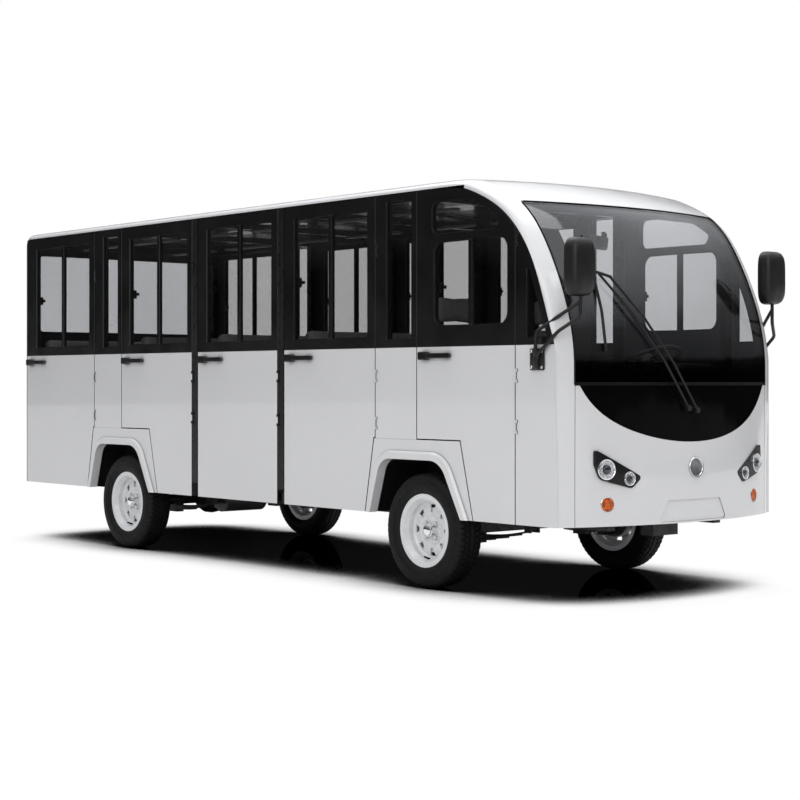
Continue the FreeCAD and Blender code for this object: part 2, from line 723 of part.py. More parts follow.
# Quarter window ahead of the front door: its front edge leans back to the upper corner.
QUARTER = ((-896, 1235), (-759, 1235), (-759, 1607))
QUARTER_RADII = (12, 6, 10)
quarter = side_slab(d.hoop_front, d.front_door_from - d.door_gap / 2, d.body_bottom, FIT)
quarter = quarter.cut(prism_side(rounded_side(QUARTER, QUARTER_RADII, half - 100), 200))
inset = [(QUARTER[0][0] + 2 * FIT, QUARTER[0][1] + FIT), (QUARTER[1][0] - FIT, QUARTER[1][1] + FIT),
         (QUARTER[2][0] - FIT, QUARTER[2][1] - 3 * FIT)]
quarter_pane = prism_side(rounded_side(inset, QUARTER_RADII, half - d.door_wall / 2), d.glass_wall)
panel_two = wall_piece("panel_two", d.fender_top, FIT)
panel_four = wall_piece("panel_four", d.fender_top, FIT)
fixed = [hinge_on_body(quarter, "front_door"), hinge_on_body(panel_two, "second_door"),
         hinge_on_body(panel_four, "fifth_door")]
node(formed("side_form", Part.makeCompound(fixed + [mirrored(piece) for piece in fixed])), "side_panels")
fixed_glass = [quarter_pane] + panes("panel_two") + panes("panel_four")
node(formed("side_glass_form", Part.makeCompound(fixed_glass + [mirrored(piece) for piece in fixed_glass])),
     "fixed_side_glass")

# ---------------------------------------------------------------- wheels

AXLES = {"front": "0", "rear": "wheelbase"}
SPINDLE = 15


def origin_plane(body, role):
    return next(feature for feature in body.Origin.OriginFeatures if feature.Role == role)


def profile_body(name, points, plane="XZ_Plane"):
    """PartDesign body with one closed sketch; each corner is a pair of formulas."""
    body = DOC.addObject("PartDesign::Body", name)
    sketch = body.newObject("Sketcher::SketchObject", name + "_profile")
    sketch.AttachmentSupport = [(origin_plane(body, plane), "")]
    sketch.MapMode = "FlatFace"
    draw(sketch, points)
    return body, sketch


def draw(sketch, points):
    """Closed run of straight lines whose corners are bound to formulas."""
    count = len(points)
    around = [Vector(100 * math.cos(2 * math.pi * i / count), 100 * math.sin(2 * math.pi * i / count), 0)
              for i in range(count)]
    for i in range(count):
        sketch.addGeometry(Part.LineSegment(around[i], around[(i + 1) % count]), False)
    for i in range(count):
        sketch.addConstraint(Sketcher.Constraint("Coincident", i, 2, (i + 1) % count, 1))
    for i, (across, up) in enumerate(points):
        for kind, formula, start in (("DistanceX", across, around[i].x), ("DistanceY", up, around[i].y)):
            index = sketch.addConstraint(Sketcher.Constraint(kind, -1, 1, i, 1, start))
            sketch.setExpression(f"Constraints[{index}]", bound(formula))


def revolve(body, sketch, name):
    turn = body.newObject("PartDesign::Revolution", name)
    turn.Profile = sketch
    turn.ReferenceAxis = (sketch, ["H_Axis"])
    turn.Angle = 360
    return turn


RIM_WALL = 5
DISC_AT = 6
WINDOW_COUNT = 8
BOLTS = 4


def tyre(name):
    """Tyre about its own axis along X: tread, shoulders, side walls and beads."""
    edge = "tyre_width / 2"
    bead = f"rim_width / 2 - {RIM_WALL + FIT}"
    points = [
        (f"-({bead})", f"rim_radius + {FIT}"),
        (bead, f"rim_radius + {FIT}"),
        (bead, f"rim_flange + {FIT}"),
        ("rim_width / 2 + 2", f"rim_flange + {FIT}"),
        (edge, "(rim_flange + tyre_radius) / 2"),
        (f"{edge} - 9", "tyre_radius - 22"),
        (f"{edge} - 27", "tyre_radius - 2"),
        ("0", "tyre_radius"),
        (f"-({edge} - 27)", "tyre_radius - 2"),
        (f"-({edge} - 9)", "tyre_radius - 22"),
        (f"-({edge})", "(rim_flange + tyre_radius) / 2"),
        ("-(rim_width / 2 + 2)", f"rim_flange + {FIT}"),
        (f"-({bead})", f"rim_flange + {FIT}"),
    ]
    body, sketch = profile_body(name, points)
    revolve(body, sketch, name + "_turned")
    return body


def rim(name):
    """Steel wheel about its own axis: flanged barrel, dished disc with windows, hub, drum and nuts."""
    flange, inside = "rim_width / 2", f"rim_radius - {RIM_WALL}"
    drop = "rim_radius - 16"
    points = [
        (f"-({flange})", "rim_flange"),
        (f"-({flange})", inside),
        (f"-({flange} - 26)", f"{drop} - {RIM_WALL}"),
        (f"{DISC_AT}", f"{drop} - {RIM_WALL}"),
        (f"{DISC_AT - 8}", "rim_radius - 34"),
        (f"{DISC_AT + 4}", "bolt_circle / 2 + 34"),
        (f"{DISC_AT - 6}", "bolt_circle / 2 + 16"),
        (f"{DISC_AT - 6}", "0"),
        (f"{DISC_AT}", "0"),
        (f"{DISC_AT}", "bolt_circle / 2 + 14"),
        (f"{DISC_AT + 10}", "bolt_circle / 2 + 34"),
        (f"{DISC_AT - 2}", "rim_radius - 32"),
        (f"{DISC_AT + 8}", f"{drop} - {RIM_WALL}"),
        (f"{flange} - 26", f"{drop} - {RIM_WALL}"),
        (flange, inside),
        (flange, "rim_flange"),
        (f"{flange} - 5", "rim_flange"),
        (f"{flange} - 5", "rim_radius"),
        (f"{flange} - 28", drop),
        (f"-({flange} - 28)", drop),
        (f"-({flange} - 5)", "rim_radius"),
        (f"-({flange} - 5)", "rim_flange"),
    ]
    body, sketch = profile_body(name, points)
    revolve(body, sketch, name + "_turned")
    windows = body.newObject("Sketcher::SketchObject", name + "_window")
    windows.AttachmentSupport = [(origin_plane(body, "YZ_Plane"), "")]
    windows.MapMode = "FlatFace"
    draw(windows, [("-8", "bolt_circle / 2 + 40"), ("8", "bolt_circle / 2 + 40"),
                   ("21", "rim_radius - 36"), ("-21", "rim_radius - 36")])
    pocket = body.newObject("PartDesign::Pocket", name + "_pocket")
    pocket.Profile = windows
    pocket.Midplane = True
    pocket.Length = 80
    around = body.newObject("PartDesign::PolarPattern", name + "_windows")
    around.Originals = [pocket]
    around.Axis = (origin_plane(body, "X_Axis"), [""])
    around.Angle = 360
    around.Occurrences = WINDOW_COUNT
    body.Tip = around
    return body


DRUM_RADIUS, DRUM_WIDTH, HUB_RADIUS = 112, 44, 31


def wheel(end, side):
    """Tyre and rim of one wheel, the dish facing outwards."""
    sign = SIDES[side]
    axle = AXLES[end]
    label = f"{end}_{side}"
    rubber = tyre(f"{label}_tyre_body")
    steel = rim(f"{label}_rim_body")
    hub = [
        rod(f"{label}_hub", f"{DISC_AT - 1}", "0", "0", str(HUB_RADIUS), "34", (1, 0, 0)),
        rod(f"{label}_drum", f"{DISC_AT - 6 - DRUM_WIDTH}", "0", "0", str(DRUM_RADIUS), str(DRUM_WIDTH),
            (1, 0, 0)),
    ]
    cap = DOC.addObject("Part::Cone", f"{label}_cap")
    bind(cap, Radius1=str(HUB_RADIUS), Radius2=str(HUB_RADIUS - 9), Height="12")
    cap.Placement = Placement(Vector(), Rotation(Vector(0, 0, 1), Vector(1, 0, 0)))
    put(cap, f"{DISC_AT + 33}", "0", "0")
    nuts = []
    for index in range(BOLTS):
        angle = 45 + index * 360 / BOLTS
        nut = DOC.addObject("Part::Prism", f"{label}_nut_{index}")
        bind(nut, Circumradius="bolt_hole * 0.85", Height="16")
        nut.Polygon = 6
        nut.Placement = Placement(Vector(), Rotation(Vector(0, 0, 1), Vector(1, 0, 0)))
        put(nut, f"{DISC_AT - 1}", f"bolt_circle / 2 * cos({angle})", f"bolt_circle / 2 * sin({angle})")
        nuts.append(nut)
    spindle = rod(f"{label}_bore", f"{DISC_AT - 60}", "0", "0", str(SPINDLE + BORE_FIT), "58", (1, 0, 0))
    for piece in (rubber, steel):
        put(piece, "0", "0", "0")
    metal = cut(f"{label}_rim_bored", fuse(f"{label}_rim_joined", [steel, cap] + hub + nuts), spindle)
    for piece, name in ((rubber, "tyre"), (metal, "rim")):
        facing_out = piece if sign > 0 else mirror_of(piece, f"{label}_{name}_mirror")
        whole = group(f"{label}_{name}_placed", [facing_out])
        node(place(whole, f"{sign} * wheel_middle", axle, "tyre_radius"), f"{label}_{name}")


for end in AXLES:
    for side in SIDES:
        wheel(end, side)

# ---------------------------------------------------------------- front axle, knuckles and steering

# Kingpin inside the wheel's middle; ears of the beam below and above the knuckle, round about the pin.
KINGPIN, PIN = 75, 10
EAR_LOW, EAR_HIGH, EAR, EAR_HALF = 92, 66, 26, 17
BEAM_END = 67
king_x = f"(wheel_middle - {KINGPIN})"

beam = [block("beam", "0", "-25", "tyre_radius - 30", f"2 * ({king_x} - 60)", "50", "60")]
for side, sign in SIDES.items():
    ear_low = f"tyre_radius - {EAR_LOW}"
    beam.append(block(f"beam_end_{side}", f"{sign} * ({king_x} - {BEAM_END})", "-25", ear_low, "16", "50",
                      str(2 * EAR_LOW)))
    for level, height in (("low", ear_low), ("high", f"tyre_radius + {EAR_HIGH}")):
        beam.append(block(f"ear_{level}_{side}", f"{sign} * ({king_x} - {BEAM_END / 2})", str(-EAR_HALF),
                          height, str(BEAM_END), str(2 * EAR_HALF), str(EAR)))
        beam.append(rod(f"ear_{level}_end_{side}", f"{sign} * {king_x}", "0", height, str(EAR_HALF), str(EAR),
                        (0, 0, 1)))
    beam.append(rod(f"kingpin_{side}", f"{sign} * {king_x}", "0", f"tyre_radius - {EAR_LOW + 6}", str(PIN),
                    f"{2 * EAR_LOW + 12}", (0, 0, 1)))
    beam.append(block(f"spring_seat_{side}", f"{sign} * rail_half", "-40", "tyre_radius - 34", "60", "80",
                      "8"))
node(fuse("front_axle_joined", beam), "front_axle")

ARM_HEIGHT, ARM_BACK, ARM_IN = 12, 150, 40
TIE_RADIUS = 8


def hull_bar(start, stop, width, height, low):
    """Flat bar with round ends between two points in plan."""
    way = (stop - start).normalize()
    side_way = Vector(-way.y, way.x, 0) * (width / 2)
    outline = Part.Wire([
        Part.makeLine(start + side_way, stop + side_way),
        Part.Arc(stop + side_way, stop + way * (width / 2), stop - side_way).toShape(),
        Part.makeLine(stop - side_way, start - side_way),
        Part.Arc(start - side_way, start - way * (width / 2), start + side_way).toShape(),
    ])
    bar = Part.Face(outline).extrude(Vector(0, 0, height))
    bar.translate(Vector(0, 0, low))
    return bar


kx = d.wheel_middle - KINGPIN
arm_low = d.tyre_radius - 10
for side, sign in SIDES.items():
    boss = rod(f"knuckle_boss_{side}", f"{sign} * {king_x}", "0", f"tyre_radius - {EAR_LOW - EAR - 5}", "20",
               f"{EAR_LOW - EAR - 5 + EAR_HIGH - 5}", (0, 0, 1))
    plate_x = f"{sign} * (wheel_middle - 52)" if sign > 0 else f"-(wheel_middle - 52) - 5"
    plate = rod(f"backing_plate_{side}", plate_x, "0", "tyre_radius", str(DRUM_RADIUS - 4), "5", (1, 0, 0))
    axis_from = f"{king_x}" if sign > 0 else f"-(wheel_middle - 6)"
    spindle = rod(f"spindle_{side}", axis_from, "0", "tyre_radius", str(SPINDLE), f"{KINGPIN - 6}", (1, 0, 0))
    start = Vector(sign * kx, along(0), 0)
    stop = Vector(sign * (kx - ARM_IN), along(ARM_BACK), 0)
    arm = formed(f"steering_arm_{side}", hull_bar(start, stop, 26, ARM_HEIGHT, arm_low))
    knuckle = fuse(f"knuckle_joined_{side}", [boss, plate, spindle, arm])
    hole = rod(f"kingpin_bore_{side}", f"{sign} * {king_x}", "0", "0", str(PIN + BORE_FIT), "600", (0, 0, 1))
    node(cut(f"knuckle_bored_{side}", knuckle, hole), f"front_{side}_knuckle")

tie_z = arm_low + ARM_HEIGHT + FIT + TIE_RADIUS
tie_span = kx - ARM_IN
tie = Part.makeCylinder(TIE_RADIUS, 2 * tie_span, Vector(-tie_span, along(ARM_BACK), tie_z), Vector(1, 0, 0))
ends = [Part.makeCylinder(17, 2 * TIE_RADIUS, Vector(sign * tie_span, along(ARM_BACK), tie_z - TIE_RADIUS))
        for sign in SIDES.values()]
node(formed("tie_rod_form", tie.fuse(ends).removeSplitter()), "tie_rod")

RACK_HALF = 200
RAIL_LOW = "floor_height - floor_wall - rail_height"
rack = fuse("rack_joined", [
    rod("rack_tube", str(-RACK_HALF), str(ARM_BACK), str(tie_z), "22", str(2 * RACK_HALF), (1, 0, 0)),
    block("rack_mount", "0", str(ARM_BACK - 30), str(tie_z), "260", "60", f"{RAIL_LOW} + 20 - {tie_z}"),
])
rack_bore = rod("rack_bore", str(-RACK_HALF - 10), str(ARM_BACK), str(tie_z), str(TIE_RADIUS + 1),
                str(2 * RACK_HALF + 20), (1, 0, 0))
rack_case = cut("rack_case", rack, rack_bore)

WHEEL_SEAT = (360, -470, 1130)
LEAN = Vector(0, 0.40, 0.9165)
steer_centre = Vector(WHEEL_SEAT[0], along(WHEEL_SEAT[1]), WHEEL_SEAT[2])
rim_ring = Part.makeTorus(190, 14, steer_centre, LEAN)
spokes = [Part.makeCylinder(9, 186, steer_centre, direction) for direction in
          (Vector(1, 0, 0), Vector(-1, 0, 0), Vector(0, -LEAN.z, LEAN.y))]
hub = Part.makeCylinder(34, 44, steer_centre - LEAN * 22, LEAN)
node(formed("steering_wheel_form", rim_ring.fuse(spokes + [hub]).removeSplitter()), "steering_wheel")

column_top = steer_centre - LEAN * 22.3
column_length = (column_top.z - d.floor_height + 20) / LEAN.z
column = Part.makeCylinder(24, column_length, column_top, LEAN * -1)
column = column.fuse(Part.makeCylinder(38, 200, column_top - LEAN * 10, LEAN * -1))
below_floor = Part.makeBox(400, 600, 200, Vector(steer_centre.x - 200, column_top.y - 600,
                                                 d.floor_height - 200))
node(formed("column_form", column.cut(below_floor).removeSplitter()), "steering_column")

# ---------------------------------------------------------------- chassis, springs and rear axle

chassis_front, chassis_rear = "(190 - front_overhang)", "(tail - 104)"
CROSS, TUBE_SIDE = 60, 40
between_rails = "2 * rail_half - rail_thick"
frame_parts = [rack_case]
crosses = (chassis_front, "-420", str(ARM_BACK - 30), "door_two_from + 433", "door_three_from + 447",
           "door_four_from + 261", "wheelbase + 444", f"{chassis_rear} - {CROSS}")
for index, ahead in enumerate(crosses):
    frame_parts.append(block(f"cross_{index}", "0", ahead, f"{RAIL_LOW} + 20", between_rails, str(CROSS),
                             "rail_height - 20"))
stub = "(body_width / 2 - door_wall - 10 - rail_half - rail_thick / 2)"
for index, ahead in enumerate(("front_door_from - 15", "door_two_from + 153", "door_two_to + 11",
                               "door_three_to + 11", "door_five_from + 147")):
    for side, sign in SIDES.items():
        centre = f"{sign} * (rail_half + rail_thick / 2 + {stub} / 2)"
        frame_parts.append(block(f"outrigger_{index}_{side}", centre, ahead,
                                 f"floor_height - floor_wall - {TUBE_SIDE}", stub, str(TUBE_SIDE),
                                 str(TUBE_SIDE)))
TOW_LOW = 286
frame_parts.append(block("front_tow_bracket", "0", chassis_front, str(TOW_LOW), "180", "80",
                         f"{RAIL_LOW} + 20 - {TOW_LOW}"))
SPRINGS = {"front": (0, 400), "rear": (d.wheelbase, 480)}
EYE, EYE_PIN = 14, 7
eye_z = d.floor_height - d.floor_wall - d.rail_height - 22
for side, sign in SIDES.items():
    rail = [block(f"rail_{side}", f"{sign} * rail_half", chassis_front, RAIL_LOW, "rail_thick",
                  f"{chassis_rear} - {chassis_front}", "rail_height")]
    for end, (axle, span) in SPRINGS.items():
        for way in (-1, 1):
            label = f"hanger_{end}_{side}_{'back' if way > 0 else 'fore'}"
            y = axle + way * span
            for cheek in (-1, 1):
                rail.append(block(f"{label}_{'outer' if cheek > 0 else 'inner'}",
                                  f"{sign} * rail_half + {cheek} * (rail_thick / 2 + 4)", str(y - 22),
                                  str(eye_z - 20), "8", "44", f"{RAIL_LOW} + 20 - {eye_z - 20}"))
            rail.append(rod(f"{label}_pin", f"{sign} * rail_half - rail_thick / 2 - 8", str(y), str(eye_z),
                            str(EYE_PIN), "rail_thick + 16", (1, 0, 0)))
    frame_parts.append(fuse(f"rail_{side}_joined", rail))
node(group("chassis_group", frame_parts), "chassis_frame")


def leaf_spring(axle, span, x, low):
    """Four stacked leaves sagging below the chassis, with an eye at each end of the longest."""
    sag = eye_z - EYE - low + 6
    radius = (span * span + sag * sag) / (2 * sag)
    centre = Vector(x, along(axle), low + radius)
    leaves = []
    for index in range(4):
        outer = radius + 7 * index
        half_angle = math.asin((span - 95 * index - (0 if index else 4)) / radius)
        arcs = []
        for size in (outer + 7, outer):
            arcs.append([centre + Vector(0, size * math.sin(a), -size * math.cos(a))
                         for a in (-half_angle, 0, half_angle)])
        low_arc, high_arc = arcs
        wire = Part.Wire([Part.Arc(*low_arc).toShape(), Part.makeLine(low_arc[2], high_arc[2]),
                          Part.Arc(*reversed(high_arc)).toShape(), Part.makeLine(high_arc[0], low_arc[0])])
        leaves.append(Part.Face(wire).extrude(Vector(d.spring_width, 0, 0)))
    ends = [Vector(x, along(axle + way * span), eye_z) for way in (-1, 1)]
    eyes = [Part.makeCylinder(EYE, d.spring_width, end, Vector(1, 0, 0)) for end in ends]
    clamp = Part.makeBox(d.spring_width, 90, 16, Vector(x, along(axle) - 45, low - 28 - 14))
    whole = leaves[0].fuse(leaves[1:] + eyes + [clamp])
    for end in ends:
        whole = whole.cut(Part.makeCylinder(EYE_PIN + BORE_FIT, 100, end - Vector(20, 0, 0),
                                            Vector(1, 0, 0)))
    whole.translate(Vector(-d.spring_width / 2, 0, 0))
    return whole.removeSplitter()


spring_low = d.tyre_radius - 34 - 0.9
springs = [leaf_spring(axle, span, sign * d.rail_half, spring_low)
           for axle, span in SPRINGS.values() for sign in SIDES.values()]
node(formed("springs_form", Part.makeCompound(springs)), "leaf_springs")

rear = [rod("axle_tube", f"-(wheel_middle - 50)", "wheelbase", "tyre_radius", "axle_tube / 2",
            f"2 * (wheel_middle - 50)", (1, 0, 0))]
# Bulging housing of the differential, turned about the axle.
DIFFERENTIAL_X = -120
BULGE = ((-104, 34), (-84, 66), (-44, 92), (0, 98), (44, 92), (84, 66), (104, 34), (104, 0), (-104, 0))
housing, housing_profile = profile_body("differential", [(str(across), str(up)) for across, up in BULGE])
revolve(housing, housing_profile, "differential_turned")
rear.append(put(housing, str(DIFFERENTIAL_X), "wheelbase", "tyre_radius"))
for side, sign in SIDES.items():
    rear.append(block(f"rear_seat_{side}", f"{sign} * rail_half", "wheelbase - 40", "tyre_radius - 34", "60",
                      "80", "20"))
    start = f"wheel_middle - 52" if sign > 0 else f"-(wheel_middle - 52) - 5"
    rear.append(rod(f"rear_plate_{side}", start, "wheelbase", "tyre_radius", str(DRUM_RADIUS - 4), "5",
                    (1, 0, 0)))
    start = f"wheel_middle - 60" if sign > 0 else f"-(wheel_middle - 6)"
    rear.append(rod(f"rear_spindle_{side}", start, "wheelbase", "tyre_radius", str(SPINDLE), "54", (1, 0, 0)))
node(fuse("rear_axle_joined", rear), "rear_axle")
motor = rod("motor_round", "-170", "wheelbase - 185", "tyre_radius + 5", "85", "300", (1, 0, 0))
case = block("reduction_case", str(DIFFERENTIAL_X), "wheelbase - 240", "tyre_radius - 60", "90", "141.7",
             "120")
node(fuse("motor_joined", [motor, case]), "drive_motor")

HITCH_LOW = 280
hitch = [block("hitch_lower", "0", "tail - 130", str(HITCH_LOW), "90", "120", "hitch_plate"),
         block("hitch_upper", "0", "tail - 130", f"{HITCH_LOW} + hitch_plate + hitch_mouth",
               "90", "120", "hitch_plate"),
         block("hitch_back", "0", "tail - 150", str(HITCH_LOW), "90", "20",
               f"{RAIL_LOW} + 20 - {HITCH_LOW}")]
hitch_bore = rod("hitch_bore", "0", "tail - 50", "200", "hitch_pin / 2", "300", (0, 0, 1))
node(cut("hitch_bored", fuse("hitch_joined", hitch), hitch_bore), "tow_hitch")

# ---------------------------------------------------------------- floor, wheel wells and body frame

# The inner side of each well from the wheel's middle: the front ones leave room to steer.
WELL_WALL, WELL_GROW = 4, 24
WELL_INNER = {"front": d.wheel_middle - 250.5, "rear": d.wheel_middle - 120.5}
inner_side = half - d.door_wall


def well_form(end, grow, x_from):
    axle = 0 if end == "front" else d.wheelbase
    return arch_prism(axle, grow, x_from, inner_side - x_from)


wells = []
for end, inner in WELL_INNER.items():
    tub = well_form(end, WELL_GROW, inner).cut(well_form(end, WELL_GROW - WELL_WALL, inner + WELL_WALL))
    tub = tub.common(big_box(0, inner_side - FIT, -2000, 5000, d.body_bottom, 1000))
    wells.extend([tub, mirrored(tub)])
node(formed("wells_form", Part.makeCompound(wells)), "wheel_wells")

INNER_CLEAR = body_form(d.shell_wall + FIT)
floor = big_box(-inner_side + 8, inner_side - 8, d.hoop_front + 12, d.door_five_to - 2,
                d.floor_height - d.floor_wall, d.floor_height).common(INNER_CLEAR)
for end, inner in WELL_INNER.items():
    well = well_form(end, WELL_GROW, inner)
    floor = floor.cut(well).cut(mirrored(well))
node(formed("floor_form", floor), "floor_panel")

# Body frame: posts inside the side wall, pillars between the row doors, a rail over each side and
# bows across under the roof, each tube a solid of its own.
RAIL_LOW_EDGE, RAIL_FRONT, RAIL_DROP, BOW = 44, -420, 6, 40
rail_low = d.door_top - RAIL_LOW_EDGE
post_from, post_to = inner_side - d.post, inner_side - FIT
rail_zone = big_box(post_from - RAIL_DROP, post_to - RAIL_DROP, RAIL_FRONT, d.door_five_to, rail_low,
                    d.roof_edge + 100)
roof_rail = rail_zone.common(INNER_CLEAR)


def clear_of_wells(tube):
    for end, inner in WELL_INNER.items():
        tube = tube.cut(well_form(end, WELL_GROW + FIT, inner - 5))
    return tube


def post(front, top):
    """Square post inside the left side wall, from the floor up, clear of wheel wells and hoop."""
    return clear_of_wells(big_box(post_from, post_to, front, front + d.post, d.floor_height, top)
                          .common(under_hoop))


def pillar(front, rear_edge):
    """Pillar that fills the gap between two row doors and reaches up outside the rail."""
    tube = big_box(post_from, half - 1, front + 5, rear_edge - 5, d.floor_height, d.door_top - FIT)
    return tube.cut(rail_zone)


front_post = post(d.front_door_from - d.post - 8, rail_low).common(INNER_CLEAR)
tubes = [front_post, roof_rail,
         post(d.front_door_to + 4, rail_low), post(d.door_two_from - d.post - 4, rail_low),
         post(d.door_four_to + 4, rail_low), post(d.door_five_from - d.post - 4, rail_low),
         post(d.door_five_to - d.post, rail_low).common(INNER_CLEAR),
         hinge_on_body(pillar(d.door_two_to, d.door_three_from), "third_door"),
         hinge_on_body(pillar(d.door_three_to, d.door_four_from), "fourth_door")]
bow_half = post_from - RAIL_DROP
bows = [big_box(-bow_half, bow_half, ahead, ahead + BOW, rail_low, rail_low + BOW - 4)
        for ahead in (d.front_door_to + 4, d.door_two_to + 10, d.door_three_to + 10, d.door_four_to + 4,
                      d.door_five_to - d.post)]
node(formed("body_frame_form", Part.makeCompound(tubes + [mirrored(tube) for tube in tubes] + bows)),
     "body_frame")

# ---------------------------------------------------------------- dashboard, seats and battery

DASH = ((-1150, 730), (-1150, 1010), (-800, 1042), (-690, 1020), (-660, 900), (-720, 800), (-850, 740))
DASH_RADII = (0, 0, 20, 40, 40, 60, 40)
dash = prism_side(rounded_side(DASH, DASH_RADII, -post_from + 1), 2 * post_from - 2)
node(formed("dash_form", dash.common(INNER_CLEAR)), "dashboard")

BACK_LEAN, BACK_DROP = 7, 60
TUBE, UPRIGHT = 30, 22
SOFT, REST_SOFT = 30, 25
FRONT_SEAT_REAR, FRONT_LEGS = 170, 50
FRONT_SEAT_X = (half - d.door_wall - 21.5) / 2
REST = {"width": "260", "thick": "70", "height": "150"}
frames, cushions, backs = [], [], []


def fillet(name, base, radius):
    DOC.recompute()
    soft = DOC.addObject("Part::Fillet", name)
    soft.Base = base
    soft.Edges = [(index + 1, radius, radius) for index in range(len(base.Shape.Edges))]
    return soft


def lean(thing, rear_edge):
    """Tilt a piece about the back's lower front edge, which is where its own coordinates start."""
    tilted = group(thing.Name + "_lean", [thing])
    tilted.Placement = Placement(Vector(), Rotation(Vector(1, 0, 0), -BACK_LEAN))
    return put(tilted, "0", f"({rear_edge}) - back_wall", f"seat_height - {BACK_DROP}")


def seat(name, x, rear_edge, width, headrest, legs):
    """Cushion, leaning back and tube frame of one seat; rear_edge is a formula, legs their half spread."""
    front = f"({rear_edge}) - back_wall - seat_depth"
    cushion = block(f"{name}_cushion", x, front, "seat_height - cushion", width, "seat_depth", "cushion")
    cushions.append(fillet(f"{name}_cushion_soft", cushion, SOFT))
    back = block(f"{name}_back", x, str(FIT), "0", width, "back_wall", f"back_height + {BACK_DROP}", place)
    backs.append(lean(fillet(f"{name}_back_soft", back, SOFT), rear_edge))
    if headrest:
        rest = block(f"{name}_headrest", x, "10", f"back_height + {BACK_DROP + FIT}", REST["width"],
                     REST["thick"], REST["height"], place)
        backs.append(lean(fillet(f"{name}_headrest_soft", rest, REST_SOFT), rear_edge))
    leg_places = (f"{front} + 40", f"({rear_edge}) - back_wall - 70")
    tube_low = f"seat_height - cushion - {TUBE}"
    for index, way in enumerate((-1, 1)):
        leg_x = f"({x}) + {way} * ({legs})"
        for leg, y in zip(("fore", "aft"), leg_places):
            frames.append(block(f"{name}_{leg}_{index}", leg_x, y, "floor_height", str(TUBE), str(TUBE),
                                f"{tube_low} - floor_height"))
        bearer = block(f"{name}_bearer_{index}", leg_x, f"{front} + 20", tube_low, str(TUBE),
                       "seat_depth + back_wall + 10", str(TUBE))
        upright = block(f"{name}_upright_{index}", leg_x, f"back_wall + {2 * FIT}",
                        f"{BACK_DROP + 2 - TUBE} - cushion", str(TUBE), str(UPRIGHT), "back_height", place)
        frames.append(fuse(f"{name}_side_{index}", [bearer, lean(upright, rear_edge)]))
    for index, y in enumerate(leg_places):
        frames.append(block(f"{name}_tie_{index}", x, y, tube_low, f"2 * ({legs}) - {TUBE}", str(TUBE),
                            str(TUBE)))


for index, door_end in enumerate(("door_two_to", "door_three_to", "door_four_to", "door_five_to")):
    seat(f"bench_{index + 2}", "0", f"{door_end} - bench_set", "bench_width", False, "bench_width / 2 - 180")
for side, sign in SIDES.items():
    seat(f"front_seat_{side}", f"{sign} * {FRONT_SEAT_X}", str(FRONT_SEAT_REAR), "bucket_width", True,
         str(FRONT_LEGS))
node(group("cushions_group", cushions), "seat_cushions")
node(group("backs_group", backs), "seat_backs")
node(group("frames_group", frames), "seat_frames")

battery = block("battery_block", "0", "door_three_to - 540", "floor_height", "700", "360", "220")
node(battery, "battery_pack")

# ---------------------------------------------------------------- mirrors, wiper and tail lamps

def tube(points, radius, bend):
    """Round tube along straight runs joined by bends."""
    edges = []
    last = points[0]
    for before, corner, after in zip(points, points[1:], points[2:]):
        back = (before - corner).normalize()
        on = (after - corner).normalize()
        turn = back.getAngle(on)
        reach = bend / math.tan(turn / 2)
        start, stop = corner + back * reach, corner + on * reach
        inner = corner + (back + on).normalize() * (bend / math.sin(turn / 2) - bend)
        edges.append(Part.makeLine(last, start))
        edges.append(Part.Arc(start, inner, stop).toShape())
        last = stop
    edges.append(Part.makeLine(last, points[-1]))
    path = Part.Wire(edges)
    circle = Part.Wire(Part.makeCircle(radius, points[0], points[1] - points[0]))
    return path.makePipeShell([circle], True, False)


# Mirror: a tall head ahead of the corner on two bent tubes from a pad on the quarter panel.
MIRROR_X, MIRROR_Y, MIRROR_LOW, MIRROR_TOP = EDGE_START, -1030, 1424, 1692
HEAD_WIDE, HEAD_DEEP, HEAD_SOFT = 146, 66, 26
ARM_RADIUS, ARM_BEND = 8, 14
mirror_head = Part.makeBox(HEAD_WIDE, HEAD_DEEP, MIRROR_TOP - MIRROR_LOW,
                           Vector(MIRROR_X - HEAD_WIDE / 2, along(MIRROR_Y) - HEAD_DEEP / 2, MIRROR_LOW))
mirror_head = mirror_head.makeFillet(HEAD_SOFT, mirror_head.Edges)
# Each tube as (outside the side wall, behind the front axle, height), ending inside the head.
UPPER_ARM = ((4, -836, 1158), (30, -842, 1166), (28, -852, 1252), (18, -965, 1332),
             (MIRROR_X - half + 12, MIRROR_Y, 1392))
LOWER_ARM = ((4, -850, 1102), (28, -860, 1108), (16, -975, 1222), (MIRROR_X - half - 14, MIRROR_Y, 1330))
arms = []
for route in (UPPER_ARM, LOWER_ARM):
    points = [Vector(half + out, along(behind), height) for out, behind, height in route]
    points.append(Vector(points[-1].x, points[-1].y, MIRROR_LOW + 20))
    arms.append(tube(points, ARM_RADIUS, ARM_BEND))
pad = Part.makeBox(10, 90, 100, Vector(half + FIT, along(-880), 1085))
pad = pad.makeFillet(4, pad.Edges)
mirror = mirror_head.fuse(arms + [pad]).removeSplitter()
mirror = mirror.cut(big_box(half - 40, half + FIT, -900, -780, 1050, 1220))
node(formed("mirrors_form", Part.makeCompound([mirror, mirrored(mirror)])), "mirrors")


